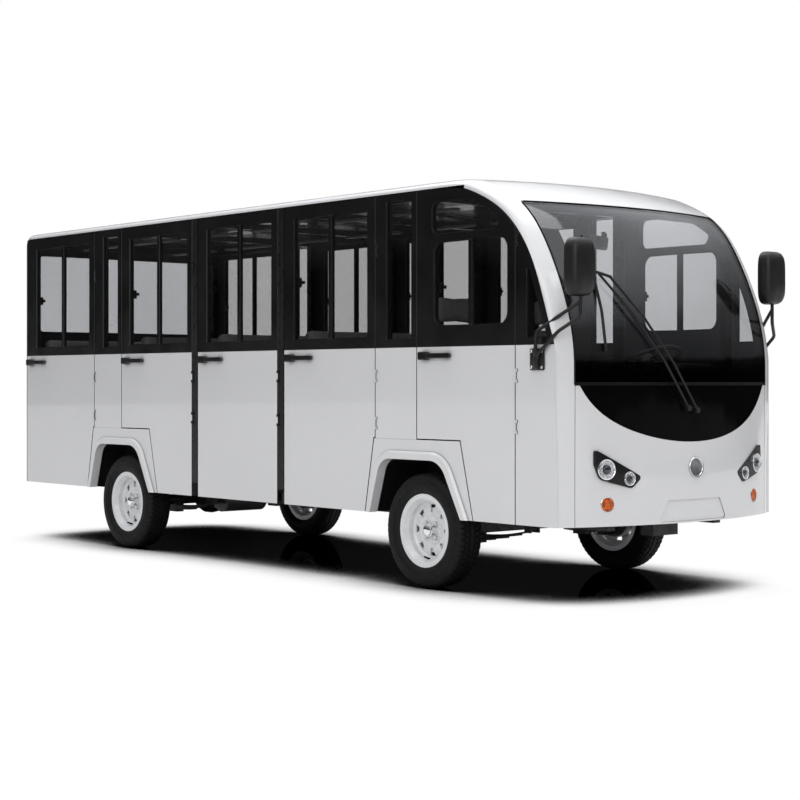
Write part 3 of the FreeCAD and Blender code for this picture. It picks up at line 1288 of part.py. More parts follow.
def screen_point(x, z, out):
    """Point on the screen or the dark panel, moved forward by `out`."""
    front = -(d.front_overhang - d.chin_bulge) + x * x / (2 * d.screen_bow)
    if z < d.cowl_height:
        bulge = 0.1 * d.chin_bulge
        return Vector(x, along(front - bulge - out), z)
    top = d.roof_edge + d.roof_crown * (1 - (x / half) ** 2)
    curve = spline(brow_points(front, top, 0), Vector(0, 0, 1), Vector(0, 1, 0))
    plane = Part.Plane(Vector(0, 0, z), Vector(0, 0, 1))
    hit = curve.intersect(plane)[0][0]
    return Vector(x, along(hit.Y - out), z)


# Parallel arms from two pivots on the dark panel to a short link, which carries the blade's middle.
WIPER_PIVOTS = ((-36, 905), (26, 895))
WIPER_TIPS = ((-498, 1542), (-436, 1524))
WIPER_LINK = ((-524, 1549), (-498, 1542), (-428, 1522))
WIPER_BLADE = ((-532, 1174), (-524, 1360), (-513, 1545), (-494, 1722))
ARM_OUT, BLADE_OUT = 26, 13
wiper = []
for (foot_x, foot_z), (tip_x, tip_z) in zip(WIPER_PIVOTS, WIPER_TIPS):
    route = [screen_point(foot_x, foot_z, ARM_OUT - 2)]
    for part in (0.35, 0.7, 1.0):
        x, z = foot_x + (tip_x - foot_x) * part, foot_z + (tip_z - foot_z) * part
        route.append(screen_point(x, z, ARM_OUT))
    wiper.append(tube(route, 6, 150))
    wiper.append(Part.makeCylinder(15, 23.6, screen_point(foot_x, foot_z, ARM_OUT + 4), Vector(0, 1, 0)))
wiper.append(tube([screen_point(x, z, ARM_OUT) for x, z in WIPER_LINK], 7, 30))
wiper.append(tube([screen_point(x, z, BLADE_OUT) for x, z in WIPER_BLADE], 7, 200))
wiper.append(Part.makeCylinder(5, 16, screen_point(*WIPER_BLADE[2], ARM_OUT + 2), Vector(0, 1, 0)))
node(formed("wiper_form", wiper[0].fuse(wiper[1:])), "wiper")

tail_lamp = block("tail_lamp_block", str(TAIL[0]), "tail - shell_wall - 4", str(TAIL[1]), str(TAIL[2]),
                  "shell_wall + 4", str(TAIL[3]))
tail_soft = fillet("tail_lamp_soft", tail_lamp, 3)
node(group("tail_group", [tail_soft, mirror_of(tail_soft, "tail_lamp_right")]), "tail_lamps")

# ---------------------------------------------------------------- export
DOC.recompute()
for thing in DOC.Objects:
    if "Invalid" in thing.State or "Error" in thing.State:
        raise RuntimeError(f"{thing.Label} failed to build")
for thing in NODES:
    if thing.Shape.isNull() or not thing.Shape.isValid():
        raise RuntimeError(f"{thing.Label} has no valid shape")
os.makedirs("parts", exist_ok=True)
for thing in NODES:
    thing.Shape.exportStep(f"parts/{thing.Label}.step")
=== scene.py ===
"""Looks of the enclosed electric sightseeing vehicle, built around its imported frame.

Metres, in the frame of the model: +Z up, front along -Y, the vehicle's left side at +X, origin on
the ground under the middle of the length.
"""

import json
import math

import bmesh
import bpy
from mathutils import Euler, Matrix, Vector
from mathutils.bvhtree import BVHTree
from mathutils.geometry import convex_hull_2d


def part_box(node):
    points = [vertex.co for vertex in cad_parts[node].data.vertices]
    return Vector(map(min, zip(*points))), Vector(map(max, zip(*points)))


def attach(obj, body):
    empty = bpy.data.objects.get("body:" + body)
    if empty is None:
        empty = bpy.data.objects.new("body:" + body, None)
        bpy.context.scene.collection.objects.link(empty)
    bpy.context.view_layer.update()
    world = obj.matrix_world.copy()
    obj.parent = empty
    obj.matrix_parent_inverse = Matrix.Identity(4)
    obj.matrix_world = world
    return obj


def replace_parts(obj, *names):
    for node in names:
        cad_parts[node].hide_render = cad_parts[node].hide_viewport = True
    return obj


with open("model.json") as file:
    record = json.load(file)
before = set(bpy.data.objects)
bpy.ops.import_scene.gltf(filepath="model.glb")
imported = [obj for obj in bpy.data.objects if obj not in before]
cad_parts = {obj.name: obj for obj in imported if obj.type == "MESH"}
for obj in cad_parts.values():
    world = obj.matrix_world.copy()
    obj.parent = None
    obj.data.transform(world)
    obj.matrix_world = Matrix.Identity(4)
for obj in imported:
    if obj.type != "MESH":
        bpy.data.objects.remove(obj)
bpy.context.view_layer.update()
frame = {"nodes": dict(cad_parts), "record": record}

NODES = frame["nodes"]
SIDES = {"left": 1, "right": -1}
DOORS = ("front_door", "second_door", "third_door", "fourth_door", "fifth_door")
TAU = 2 * math.pi


def span(node):
    """Lowest corner, highest corner and middle of a node."""
    low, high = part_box(node)
    return low, high, (low + high) / 2


# Height of the belt line, where the paint changes from white to black.
BELT = 1.2025
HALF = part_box("rear_panel")[1].x
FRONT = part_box("front_mask")[0].y
AXLE_FRONT = span("front_left_tyre")[2].y

# ---- materials

# Point that inner surfaces face, and the cosine past which a surface counts as facing it.
CABIN_MIDDLE, FACING_IN = (0, 0, 1.1), -0.2
WHITE = (0.66, 0.66, 0.668)
BLACK = (0.005, 0.005, 0.005)
LINING = (0.035, 0.036, 0.04)
# Painted shade in seams and corners: its colour, how near the walls of a seam are, and the openness where it
# starts and ends.
PAINTED_SEAM_SHADE, SEAM_REACH, SEAM_OPEN = (0.1, 0.1, 0.105), 0.03, (0.15, 0.85)
# Door edges from here back carry black seals; the seam ahead of it, at the hoop, is painted.
SEALS_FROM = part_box("front_door_left")[0].y - 0.012
SEAL_FACING = 0.9
# Handles: what stands this far out, in a band round this height, is black.
HANDLE_OUT, HANDLE_MIDDLE, HANDLE_BAND = HALF + 0.0012, 1.161, 0.03
# Windscreen's painted reflection of a dark skyline, as a dark lower band: its top, the height over which it
# fades, its colour and how ragged its edge is.
PAINTED_REFLECTION_TOP, PAINTED_REFLECTION_FADE, PAINTED_REFLECTION, PAINTED_REFLECTION_RAGGED = 1.035, 0.1, (0.012, 0.012, 0.011), 0.05
# Panes mirror this much straight ahead, this much more at a slant, rising with this power.
PANE_AHEAD, PANE_SLANT, PANE_POWER = 0.045, 0.9, 5.0


class Nodes:
    """Short ways to add, set and link the nodes of a tree."""

    def __init__(self, tree):
        self.tree = tree

    def add(self, kind, **values):
        node = self.tree.nodes.new(kind)
        for key, value in values.items():
            setattr(node, key, value)
        return node

    def set(self, node, **sockets):
        """Fill sockets by name, with _ for a space; colours are given without alpha."""
        for name, value in sockets.items():
            socket = node.inputs[name.replace("_", " ")]
            socket.default_value = (*value, 1.0) if socket.type == "RGBA" else value

    def link(self, source, target):
        self.tree.links.new(source, target)

    def math(self, operation, first, second=0.0):
        node = self.add("ShaderNodeMath", operation=operation)
        for slot, value in enumerate((first, second)):
            if isinstance(value, (int, float)):
                node.inputs[slot].default_value = value
            else:
                self.link(value, node.inputs[slot])
        return node.outputs[0]

    def over(self, value, limit):
        return self.math("GREATER_THAN", value, limit)

    def size(self, value):
        return self.math("ABSOLUTE", value)

    def blend(self, factor, first, second):
        """Mix of two shaders by a socket."""
        node = self.add("ShaderNodeMixShader")
        for slot, socket in enumerate((factor, first, second)):
            self.link(socket, node.inputs[slot])
        return node.outputs[0]


class Finish(Nodes):
    """A Principled material with a few procedural nodes behind it."""

    def __init__(self, name, **sockets):
        self.material = bpy.data.materials.new(name)
        self.material.use_nodes = True
        super().__init__(self.material.node_tree)
        self.shader = self.tree.nodes["Principled BSDF"]
        self.output = self.tree.nodes["Material Output"]
        self.coords = self.add("ShaderNodeTexCoord")
        self.set(self.shader, **sockets)

    def feed(self, socket, source):
        self.link(source, self.shader.inputs[socket])

    def noise(self, scale, detail=3.0, rough=0.5):
        """Noise in the piece's own metres."""
        node = self.add("ShaderNodeTexNoise")
        self.set(node, Scale=scale, Detail=detail, Roughness=rough)
        self.link(self.coords.outputs["Object"], node.inputs["Vector"])
        return node.outputs["Fac"]

    def ranged(self, value, low, high, start=0.3, stop=0.7):
        node = self.add("ShaderNodeMapRange")
        self.set(node, From_Min=start, From_Max=stop, To_Min=low, To_Max=high)
        self.link(value, node.inputs["Value"])
        return node.outputs[0]

    def mix(self, factor, first, second):
        """Colour mix; first and second are colours or sockets."""
        node = self.add("ShaderNodeMix", data_type="RGBA")
        self.link(factor, node.inputs["Factor"])
        for slot, value in (("A", first), ("B", second)):
            socket = next(s for s in node.inputs if s.name == slot and s.type == "RGBA")
            if isinstance(value, tuple):
                socket.default_value = (*value, 1.0)
            else:
                self.link(value, socket)
        return next(s for s in node.outputs if s.type == "RGBA")

    def tint(self, colour, amount, scale):
        """The colour with soft darker and lighter patches."""
        dark = tuple(max(0.0, channel * (1 - amount)) for channel in colour)
        light = tuple(min(1.0, channel * (1 + amount)) for channel in colour)
        return self.mix(self.ranged(self.noise(scale), 0, 1), dark, light)

    def bump(self, height, distance, strength=1.0):
        node = self.add("ShaderNodeBump")
        self.set(node, Strength=strength, Distance=distance)
        self.link(height, node.inputs["Height"])
        self.link(node.outputs[0], self.shader.inputs["Normal"])

    def axis(self, which, socket="Object"):
        node = self.add("ShaderNodeSeparateXYZ")
        self.link(self.coords.outputs[socket], node.inputs[0])
        return node.outputs[which]

    def painted_crevice_shade(self):
        """Mask of painted shade: 0 in seams and sharp corners, 1 on open surfaces."""
        node = self.add("ShaderNodeAmbientOcclusion", samples=8)
        self.set(node, Distance=SEAM_REACH)
        return self.ranged(node.outputs["AO"], 0.0, 1.0, *SEAM_OPEN)

    def facing_in(self):
        """1 where the surface looks into the cabin, 0 outside."""
        away = self.add("ShaderNodeVectorMath", operation="SUBTRACT")
        self.link(self.coords.outputs["Object"], away.inputs[0])
        away.inputs[1].default_value = CABIN_MIDDLE
        unit = self.add("ShaderNodeVectorMath", operation="NORMALIZE")
        self.link(away.outputs[0], unit.inputs[0])
        dot = self.add("ShaderNodeVectorMath", operation="DOT_PRODUCT")
        self.link(unit.outputs[0], dot.inputs[0])
        self.link(self.coords.outputs["Normal"], dot.inputs[1])
        return self.math("LESS_THAN", dot.outputs["Value"], FACING_IN)


def plain_finish(name, colour, rough, metallic=0.0, coat=0.0, patch=0.08, patch_scale=6, grain=400,
                 depth=0.0001, spread=0.06, mirror=0.5):
    """Painted, moulded or metal surface: patchy colour, uneven gloss and fine grain."""
    finish = Finish(name, Metallic=metallic, Coat_Weight=coat, Coat_Roughness=0.05, Specular_IOR_Level=mirror)
    finish.feed("Base Color", finish.tint(colour, patch, patch_scale))
    finish.feed("Roughness", finish.ranged(finish.noise(patch_scale * 4), rough - spread, rough + spread))
    finish.bump(finish.noise(grain, 2.0), depth)
    return finish.material


def paint_finish(name, split=False, lined=False):
    """Gloss white paint with a faint orange peel, and painted shade in its seams and corners.

    split turns it black above the belt, on the handles and on door edges; lined darkens the cabin side.
    """
    finish = Finish(name, Coat_Weight=0.6, Coat_Roughness=0.03)
    colour = finish.tint(WHITE, 0.012, 1.3)
    if split:
        black = finish.tint(BLACK, 0.25, 3)
        above = finish.over(finish.axis("Z"), BELT)
        proud = finish.over(finish.size(finish.axis("X")), HANDLE_OUT)
        from_handle = finish.size(finish.math("SUBTRACT", finish.axis("Z"), HANDLE_MIDDLE))
        handle = finish.math("MULTIPLY", proud, finish.math("LESS_THAN", from_handle, HANDLE_BAND))
        edge = finish.over(finish.size(finish.axis("Y", "Normal")), SEAL_FACING)
        seal = finish.math("MULTIPLY", edge, finish.over(finish.axis("Y"), SEALS_FROM))
        dark = finish.math("MAXIMUM", finish.math("MAXIMUM", above, handle), seal)
        colour = finish.mix(dark, colour, black)
        finish.feed("Coat Weight", finish.ranged(dark, 0.6, 0.0, 0, 1))
        finish.feed("Specular IOR Level", finish.ranged(dark, 0.5, 0.25, 0, 1))
    if lined:
        colour = finish.mix(finish.facing_in(), colour, LINING)
    # Painted shade: seams, creases and sharp corners are darkened as if shade fell in them.
    colour = finish.mix(finish.painted_crevice_shade(), PAINTED_SEAM_SHADE, colour)
    finish.feed("Base Color", colour)
    finish.feed("Roughness", finish.ranged(finish.noise(5), 0.16, 0.26))
    finish.bump(finish.noise(260, 1.0), 0.00006, 0.6)
    return finish.material


def glass_finish(name, tint, painted_reflection_below=None):
    """Clear pane: tinted where looked through, mirroring at a slant; black below a height if given, a painted
    reflection of a dark skyline.
    """
    finish = Finish(name)
    finish.tree.nodes.remove(finish.shader)
    see = finish.add("ShaderNodeBsdfTransparent")
    shine = finish.add("ShaderNodeBsdfGlossy")
    finish.set(shine, Color=(1, 1, 1))
    slant = finish.add("ShaderNodeLayerWeight")
    finish.set(slant, Blend=0.5)
    power = finish.math("POWER", slant.outputs["Facing"], PANE_POWER)
    mirror = finish.math("ADD", finish.math("MULTIPLY", power, PANE_SLANT), PANE_AHEAD)
    shade = finish.mix(finish.ranged(finish.noise(0.8, 0.0), 0.97, 1.0), (0.0, 0.0, 0.0), tint)
    # Painted reflection: a dark skyline with a ragged top, painted over what is seen through the pane's lower
    # part.
    if painted_reflection_below is not None:
        ragged = finish.math("MULTIPLY", finish.noise(6.0, 5.0, 0.7), PAINTED_REFLECTION_RAGGED)
        height = finish.math("SUBTRACT", finish.axis("Z"), ragged)
        band = finish.ranged(height, 0.0, 1.0, painted_reflection_below, painted_reflection_below + PAINTED_REFLECTION_FADE)
        shade = finish.mix(band, PAINTED_REFLECTION, shade)
    finish.link(shade, see.inputs["Color"])
    finish.link(finish.ranged(finish.noise(12.0), 0.0, 0.03), shine.inputs["Roughness"])
    pane = finish.blend(mirror, see.outputs[0], shine.outputs[0])
    finish.link(pane, finish.output.inputs["Surface"])
    return finish.material


def faceted_finish(name, colour, metallic, scale, depth, rough=0.08, coat=0.5, spread=0.12):
    """Moulded reflector or lens: small facets that break up what it mirrors."""
    finish = Finish(name, Metallic=metallic, Coat_Weight=coat, Coat_Roughness=0.02)
    cells = finish.add("ShaderNodeTexVoronoi", feature="F1")
    finish.set(cells, Scale=scale)
    finish.link(finish.coords.outputs["Object"], cells.inputs["Vector"])
    finish.feed("Base Color", finish.tint(colour, spread, scale / 4))
    finish.feed("Roughness", finish.ranged(finish.noise(60), rough, rough * 2))
    finish.bump(cells.outputs["Distance"], depth)
    return finish.material


def leather_finish(name, colour):
    """Grey synthetic leather: fine pebbled grain, soft wear patches."""
    finish = Finish(name, Sheen_Weight=0.15)
    cells = finish.add("ShaderNodeTexVoronoi", feature="DISTANCE_TO_EDGE")
    finish.set(cells, Scale=320)
    finish.link(finish.coords.outputs["Object"], cells.inputs["Vector"])
    finish.feed("Base Color", finish.tint(colour, 0.08, 5))
    finish.feed("Roughness", finish.ranged(finish.noise(9), 0.42, 0.6))
    finish.bump(finish.ranged(cells.outputs["Distance"], 0, 1, 0.0, 0.2), 0.0004, 0.5)
    return finish.material


PAINT = paint_finish("white_paint")
PAINT_LINED = paint_finish("white_paint_lined", lined=True)
PAINT_SPLIT = paint_finish("white_and_black_paint", split=True, lined=True)
FINISHES = {
    "body_white": PAINT,
    "black_paint": plain_finish("black_gloss_paint", BLACK, 0.3, depth=0.00005, mirror=0.25),
    "tinted_glass": glass_finish("windscreen_glass", (0.86, 0.87, 0.885), PAINTED_REFLECTION_TOP),
    "clear_glass": glass_finish("side_glass", (0.8, 0.8, 0.8)),
    "black_glass": plain_finish("black_panel_glass", (0.002, 0.002, 0.002), 0.06, patch=0.2, grain=60,
        depth=0.00002, spread=0.02, mirror=0.3),
    "lamp_lens": plain_finish("lamp_housing_black", (0.005, 0.005, 0.0055), 0.25, coat=0.15,
        depth=0.00004, mirror=0.25),
    "red_lens": plain_finish("red_lens", (0.45, 0.012, 0.008), 0.15, coat=1.0, grain=500, depth=0.0002),
    "chassis_black": plain_finish("chassis_paint", (0.012, 0.012, 0.013), 0.5, patch=0.3, patch_scale=9,
        grain=250, depth=0.0003, spread=0.12),
    "floor_mat": plain_finish("ribbed_floor_mat", (0.05, 0.05, 0.054), 0.7, patch=0.15, grain=600,
        depth=0.0004),
    "black_plastic": plain_finish("black_moulded_plastic", (0.009, 0.009, 0.0085), 0.34, patch=0.15,
        patch_scale=10, grain=900, depth=0.00015, mirror=0.3),
    "grey_leather": leather_finish("grey_leather", (0.3, 0.3, 0.305)),
    "battery_case": plain_finish("battery_case", (0.05, 0.05, 0.055), 0.55, grain=500, depth=0.0002),
    "cast_alloy": plain_finish("cast_alloy", (0.16, 0.16, 0.165), 0.5, metallic=0.7, patch=0.2,
        grain=350, depth=0.0004, spread=0.1),
    "spring_steel": plain_finish("spring_steel", (0.03, 0.03, 0.032), 0.5, metallic=0.5, patch=0.3,
        grain=300, depth=0.0003, spread=0.1),
    "tyre_rubber": plain_finish("tyre_rubber", (0.006, 0.006, 0.006), 0.6, patch=0.2, patch_scale=12,
        grain=700, depth=0.0003, spread=0.1, mirror=0.2),
    "wheel_silver": plain_finish("wheel_white_enamel", (0.74, 0.745, 0.755), 0.3, coat=0.4, patch=0.03,
        patch_scale=14, grain=500, depth=0.0001),
}
PLASTIC = FINISHES["black_plastic"]
CHROME = plain_finish("chrome", (0.78, 0.79, 0.8), 0.09, metallic=1.0, patch=0.03, grain=40,
    depth=0.00002, spread=0.04)
RUBBER = plain_finish("seal_rubber", (0.004, 0.004, 0.004), 0.7, patch=0.2, grain=900, depth=0.0002,
    mirror=0.12)
AMBER = faceted_finish("amber_lens", (0.56, 0.095, 0.001), 0.0, 190, 0.006, coat=0.15, spread=0.7)
REFLECTOR = faceted_finish("lamp_reflector", (0.62, 0.63, 0.65), 1.0, 150, 0.012, 0.05)
CLEAR_LENS = faceted_finish("clear_lens", (0.75, 0.76, 0.78), 0.0, 260, 0.002)
LIGHT_STRIP = plain_finish("light_strip_diffuser", (0.16, 0.165, 0.175), 0.5, grain=500, depth=0.0001)
SATIN = plain_finish("satin_metal", (0.62, 0.63, 0.65), 0.24, metallic=1.0, patch=0.05, grain=300,
    depth=0.00005)
MIRROR_GLASS = plain_finish("mirror_glass", (0.85, 0.86, 0.88), 0.03, metallic=1.0, patch=0.01,
    grain=20, depth=0.00001, spread=0.01)
SCREEN_GLASS = plain_finish("instrument_glass", (0.006, 0.008, 0.012), 0.08, coat=1.0, patch=0.3,
    grain=80, depth=0.00002, spread=0.02)
FINISH_OF_NODE = {
    "roof_panel": PAINT_LINED, "front_mask": PAINT_LINED, "rear_panel": PAINT_LINED,
    "side_panels": PAINT_SPLIT, "arch_panels": PAINT,
}
FINISH_OF_NODE.update({f"{door}_{side}": PAINT_SPLIT for door in DOORS for side in SIDES})


def dress_nodes():
    """Give every carried-over CAD node its finish, from its own name or from its slot in the record."""
    slots = {part["node"]: part["material_slot"] for part in frame["record"]["subparts"]}
    for name, thing in NODES.items():
        finish = FINISH_OF_NODE.get(name) or FINISHES.get(slots.get(name))
        for holder in thing.material_slots if finish else ():
            holder.material = finish


dress_nodes()

# ---- helpers for pieces


def piece_from(name, made, finish, body="body", smooth=35):
    """Make a bmesh or mesh a named piece of the vehicle that rides on a body."""
    mesh = made if isinstance(made, bpy.types.Mesh) else finished(made, name)
    mesh.materials.append(finish)
    for face in mesh.polygons:
        face.use_smooth = True
    mesh.set_sharp_from_angle(angle=math.radians(smooth))
    piece = bpy.data.objects.new(name, mesh)
    bpy.context.scene.collection.objects.link(piece)
    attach(piece, body)
    return piece


def finished(bm, name):
    bmesh.ops.remove_doubles(bm, verts=bm.verts, dist=1e-6)
    bmesh.ops.recalc_face_normals(bm, faces=bm.faces)
    mesh = bpy.data.meshes.new(name)
    bm.to_mesh(mesh)
    bm.free()
    return mesh


def add_block(bm, centre, size, radius, turn=(0, 0, 0)):
    """Block with rounded edges."""
    part = bmesh.new()
    bmesh.ops.create_cube(part, size=1, matrix=Matrix.Diagonal((*size, 1)))
    bmesh.ops.bevel(part, geom=part.edges[:], offset=radius, segments=3, profile=0.5, affect="EDGES",
                    clamp_overlap=True)
    part.transform(Matrix.Translation(centre) @ Euler(turn).to_matrix().to_4x4())
    store = bpy.data.meshes.new("part")
    part.to_mesh(store)
    part.free()
    bm.from_mesh(store)
    bpy.data.meshes.remove(store)


def add_lathe(bm, profile, centre, axis, steps=48, shape=None):
    """Turn (along, radius) points about an axis; shape may change a radius by its turn."""
    basis = Vector(axis).to_track_quat("Z", "X").to_matrix()
    rings = []
    for step in range(steps):
        angle = TAU * step / steps
        ring = []
        for index, (height, radius) in enumerate(profile):
            if shape:
                radius = shape(step, index, radius)
            offset = Vector((radius * math.cos(angle), radius * math.sin(angle), height))
            ring.append(bm.verts.new(Vector(centre) + basis @ offset))
        rings.append(ring)
    join_rows(bm, rings)


def join_rows(bm, rows):
    """Quads between neighbouring rows of vertices, closed round from the last row to the first."""
    for row, beside in zip(rows, rows[1:] + rows[:1]):
        for index in range(len(row) - 1):
            bm.faces.new((row[index], beside[index], beside[index + 1], row[index + 1]))


def lathe_piece(name, profile, centre, axis, finish, body="body", steps=48):
    bm = bmesh.new()
    add_lathe(bm, profile, centre, axis, steps)
    return piece_from(name, bm, finish, body)


def placed(blocks, origin, sign=1):
    """Blocks given by their offset, set at a point; sign mirrors the offset."""
    return [(Vector(origin) + Vector((sign * offset[0], *offset[1:])), *rest) for offset, *rest in blocks]


def block_piece(name, blocks, finish, body="body"):
    """Piece of blocks, each given as (centre, size, edge radius) and a turn where it leans."""
    bm = bmesh.new()
    for block in blocks:
        add_block(bm, *block)
    return piece_from(name, bm, finish, body)


def strip_piece(name, runs, radius, finish, body="body", closed=False,
                round_steps=2):
    """Thin round beads along several runs of points, as one curve."""
    curve = bpy.data.curves.new(name, "CURVE")
    curve.dimensions = "3D"
    curve.bevel_depth = radius
    curve.bevel_resolution = round_steps
    curve.use_fill_caps = True
    for points in runs:
        spline = curve.splines.new("POLY")
        spline.points.add(len(points) - 1)
        for target, point in zip(spline.points, points):
            target.co = (*point, 1)
        spline.use_cyclic_u = closed
    curve.materials.append(finish)
    piece = bpy.data.objects.new(name, curve)
    bpy.context.scene.collection.objects.link(piece)
    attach(piece, body)
    return piece


class Surface:
    """Finds where a line meets the outside of CAD nodes."""

    def __init__(self, *nodes):
        vertices, faces = [], []
        for name in nodes:
            mesh = NODES[name].data
            first = len(vertices)
            vertices.extend(v.co.copy() for v in mesh.vertices)
            faces.extend([first + index for index in face.vertices] for face in mesh.polygons)
        self.tree = BVHTree.FromPolygons(vertices, faces)

    def ahead(self, x, z):
        """Point and outward normal where a line from the front meets the surface."""
        point, normal, _, _ = self.tree.ray_cast(Vector((x, FRONT - 1, z)), Vector((0, 1, 0)))
        if normal.y > 0:
            normal = -normal
        return point, normal


def islands(node):
    """The separate solids of a node, each as its list of vertices and faces."""
    bm = bmesh.new()
    bm.from_mesh(NODES[node].data)
    bmesh.ops.remove_doubles(bm, verts=bm.verts, dist=1e-5)
    seen, found = set(), []
    for start in bm.verts:
        if start.index in seen:
            continue
        seen.add(start.index)
        stack, group = [start], []
        while stack:
            vertex = stack.pop()
            group.append(vertex)
            for edge in vertex.link_edges:
                other = edge.other_vert(vertex)
                if other.index not in seen:
                    seen.add(other.index)
                    stack.append(other)
        order = {vertex: index for index, vertex in enumerate(group)}
        faces = {face for vertex in group for face in vertex.link_faces}
        found.append(([vertex.co.copy() for vertex in group],
                      [[order[vertex] for vertex in face.verts] for face in faces]))
    bm.free()
    return found


def solids_of(node, sign):
    """Vertices of each solid of a node on one side of the vehicle."""
    return [vertices for vertices, _ in islands(node) if (vertices[0].x > 0) == (sign > 0)]


def box_of(points):
    low = Vector([min(point[axis] for point in points) for axis in range(3)])
    high = Vector([max(point[axis] for point in points) for axis in range(3)])
    return low, high


# ---- wheels

# Tread and side wall of half a tyre, as (across from the middle, under the rolling radius).
TREAD = ((0.0, 0.0), (0.0125, 0.0001), (0.0135, 0.007), (0.0185, 0.007), (0.0195, 0.0003), (0.03, 0.0007),
         (0.041, 0.0013), (0.042, 0.0075), (0.047, 0.0075), (0.048, 0.0018), (0.056, 0.003), (0.063, 0.006),
         (0.07, 0.012), (0.0755, 0.02), (0.079, 0.03), (0.08, 0.0305), (0.0826, 0.04),
         (0.084, 0.0405), (0.0856, 0.056), (0.085, 0.07), (0.0832, 0.0705), (0.0815, 0.082),
         (0.0795, 0.0825), (0.0745, 0.094), (0.069, 0.1015), (0.0608, 0.103))
# Cross cuts: how many round the tyre, which ribs they cross, how deep they are, and the depths under the
# rolling radius past which a point belongs to the side wall or to a groove.
PITCHES, STEPS_PER_PITCH = 60, 4
RIB_INNER, RIB_OUTER, RIB_EDGE = 0.019, 0.048, 0.005
SIPE_INNER, SIPE_OUTER = 0.004, 0.0055
WALL_UNDER, GROOVE_UNDER, BEAD_UNDER = 0.013, 0.0065, 0.1225
SLACK = 1e-6


def build_tyre(place):
    """Tyre with grooves, tread blocks and ribbed side walls in place of the plain one."""
    node = f"{place}_tyre"
    low, high, middle = span(node)
    rolling = (high.z - low.z) / 2
    stretch = (high.x - low.x) / 2 / max(across for across, _ in TREAD)
    outer = [(across * stretch, rolling - under) for across, under in TREAD]
    outer.append((outer[-1][0], rolling - BEAD_UNDER))
    profile = [(-across, radius) for across, radius in reversed(outer)] + outer[1:]
    profile.append(profile[0])

    def tread(step, index, radius):
        across, part = abs(profile[index][0]), step % STEPS_PER_PITCH
        if radius < rolling - WALL_UNDER or radius < rolling - GROOVE_UNDER and across < RIB_OUTER:
            return radius
        if across >= RIB_OUTER * stretch - SLACK and part == 0:
            return radius - SIPE_OUTER
        if RIB_INNER * stretch < across < RIB_OUTER * stretch - RIB_EDGE and part == 2:
            return radius - SIPE_INNER
        return radius

    bm = bmesh.new()
    add_lathe(bm, profile, middle, (1, 0, 0), PITCHES * STEPS_PER_PITCH, tread)
    tyre = piece_from(f"{place}_tread_tyre", bm, FINISHES["tyre_rubber"], f"{place}_wheel", 28)
    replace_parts(tyre, node)


# Wheel's middle inside the side wall, then the trim on it: bolts, cap, nuts and a valve near the flange.
WHEEL_INSET, RIM_WIDTH = 0.03, 0.132
BOLT_RADIUS, BOLT_COUNT, BOLT_START = 0.05, 4, 45
CAP_PROFILE = ((0.016, 0.0), (0.016, 0.0325), (0.02, 0.0345), (0.038, 0.0335), (0.041, 0.0335),
               (0.043, 0.03), (0.05, 0.027), (0.0535, 0.02), (0.055, 0.01), (0.0555, 0.0))
NUT_PROFILE = ((0.016, 0.0), (0.016, 0.0125), (0.024, 0.0125), (0.0275, 0.0105), (0.03, 0.006),
               (0.0305, 0.0))
VALVE_PROFILE = ((0, 0.0), (0, 0.006), (0.012, 0.0052), (0.026, 0.0042), (0.028, 0.0048), (0.036, 0.0045),
                 (0.037, 0.0))
VALVE_OUT, VALVE_UNDER, VALVE_LEAN = 0.03, 0.042, 0.35


def build_wheel_trim(place, sign):
    """Chrome hub cap, nut caps and a rubber valve."""
    _, _, middle = span(f"{place}_tyre")
    low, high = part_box(f"{place}_rim")
    wheel_middle = Vector((sign * (HALF - WHEEL_INSET - RIM_WIDTH / 2), middle.y, middle.z))
    way, body = (sign, 0, 0), f"{place}_wheel"
    lathe_piece(f"{place}_hub_cap", CAP_PROFILE, wheel_middle, way, CHROME, body)
    bm = bmesh.new()
    for index in range(BOLT_COUNT):
        angle = math.radians(BOLT_START + 360 * index / BOLT_COUNT)
        offset = Vector((0, BOLT_RADIUS * math.cos(angle), BOLT_RADIUS * math.sin(angle)))
        add_lathe(bm, NUT_PROFILE, wheel_middle + offset, way, 6)
    piece_from(f"{place}_nut_caps", bm, SATIN, body, 25)
    bm = bmesh.new()
    flange = (high.z - low.z) / 2
    valve = wheel_middle + Vector((sign * VALVE_OUT, 0, VALVE_UNDER - flange))
    add_lathe(bm, VALVE_PROFILE, valve, (sign, 0, VALVE_LEAN), 16)
    piece_from(f"{place}_valve", bm, RUBBER, body)


for end in ("front", "rear"):
    for side, sign in SIDES.items():
        build_tyre(f"{end}_{side}")
        build_wheel_trim(f"{end}_{side}", sign)

# ---- front: lamps, disc, beads

lamp_face = Surface("headlamps", "front_mask")
front_face = Surface("front_mask", "windscreen", "dark_front_panel")

# Places on the left side as (x, height, radius).
MAIN_LAMP, SIDE_LAMP, INDICATOR = (0.545, 0.626, 0.045), (0.42, 0.581, 0.031), (0.53, 0.464, 0.034)
DISC_HEIGHT, DISC_RADIUS = 0.624, 0.05
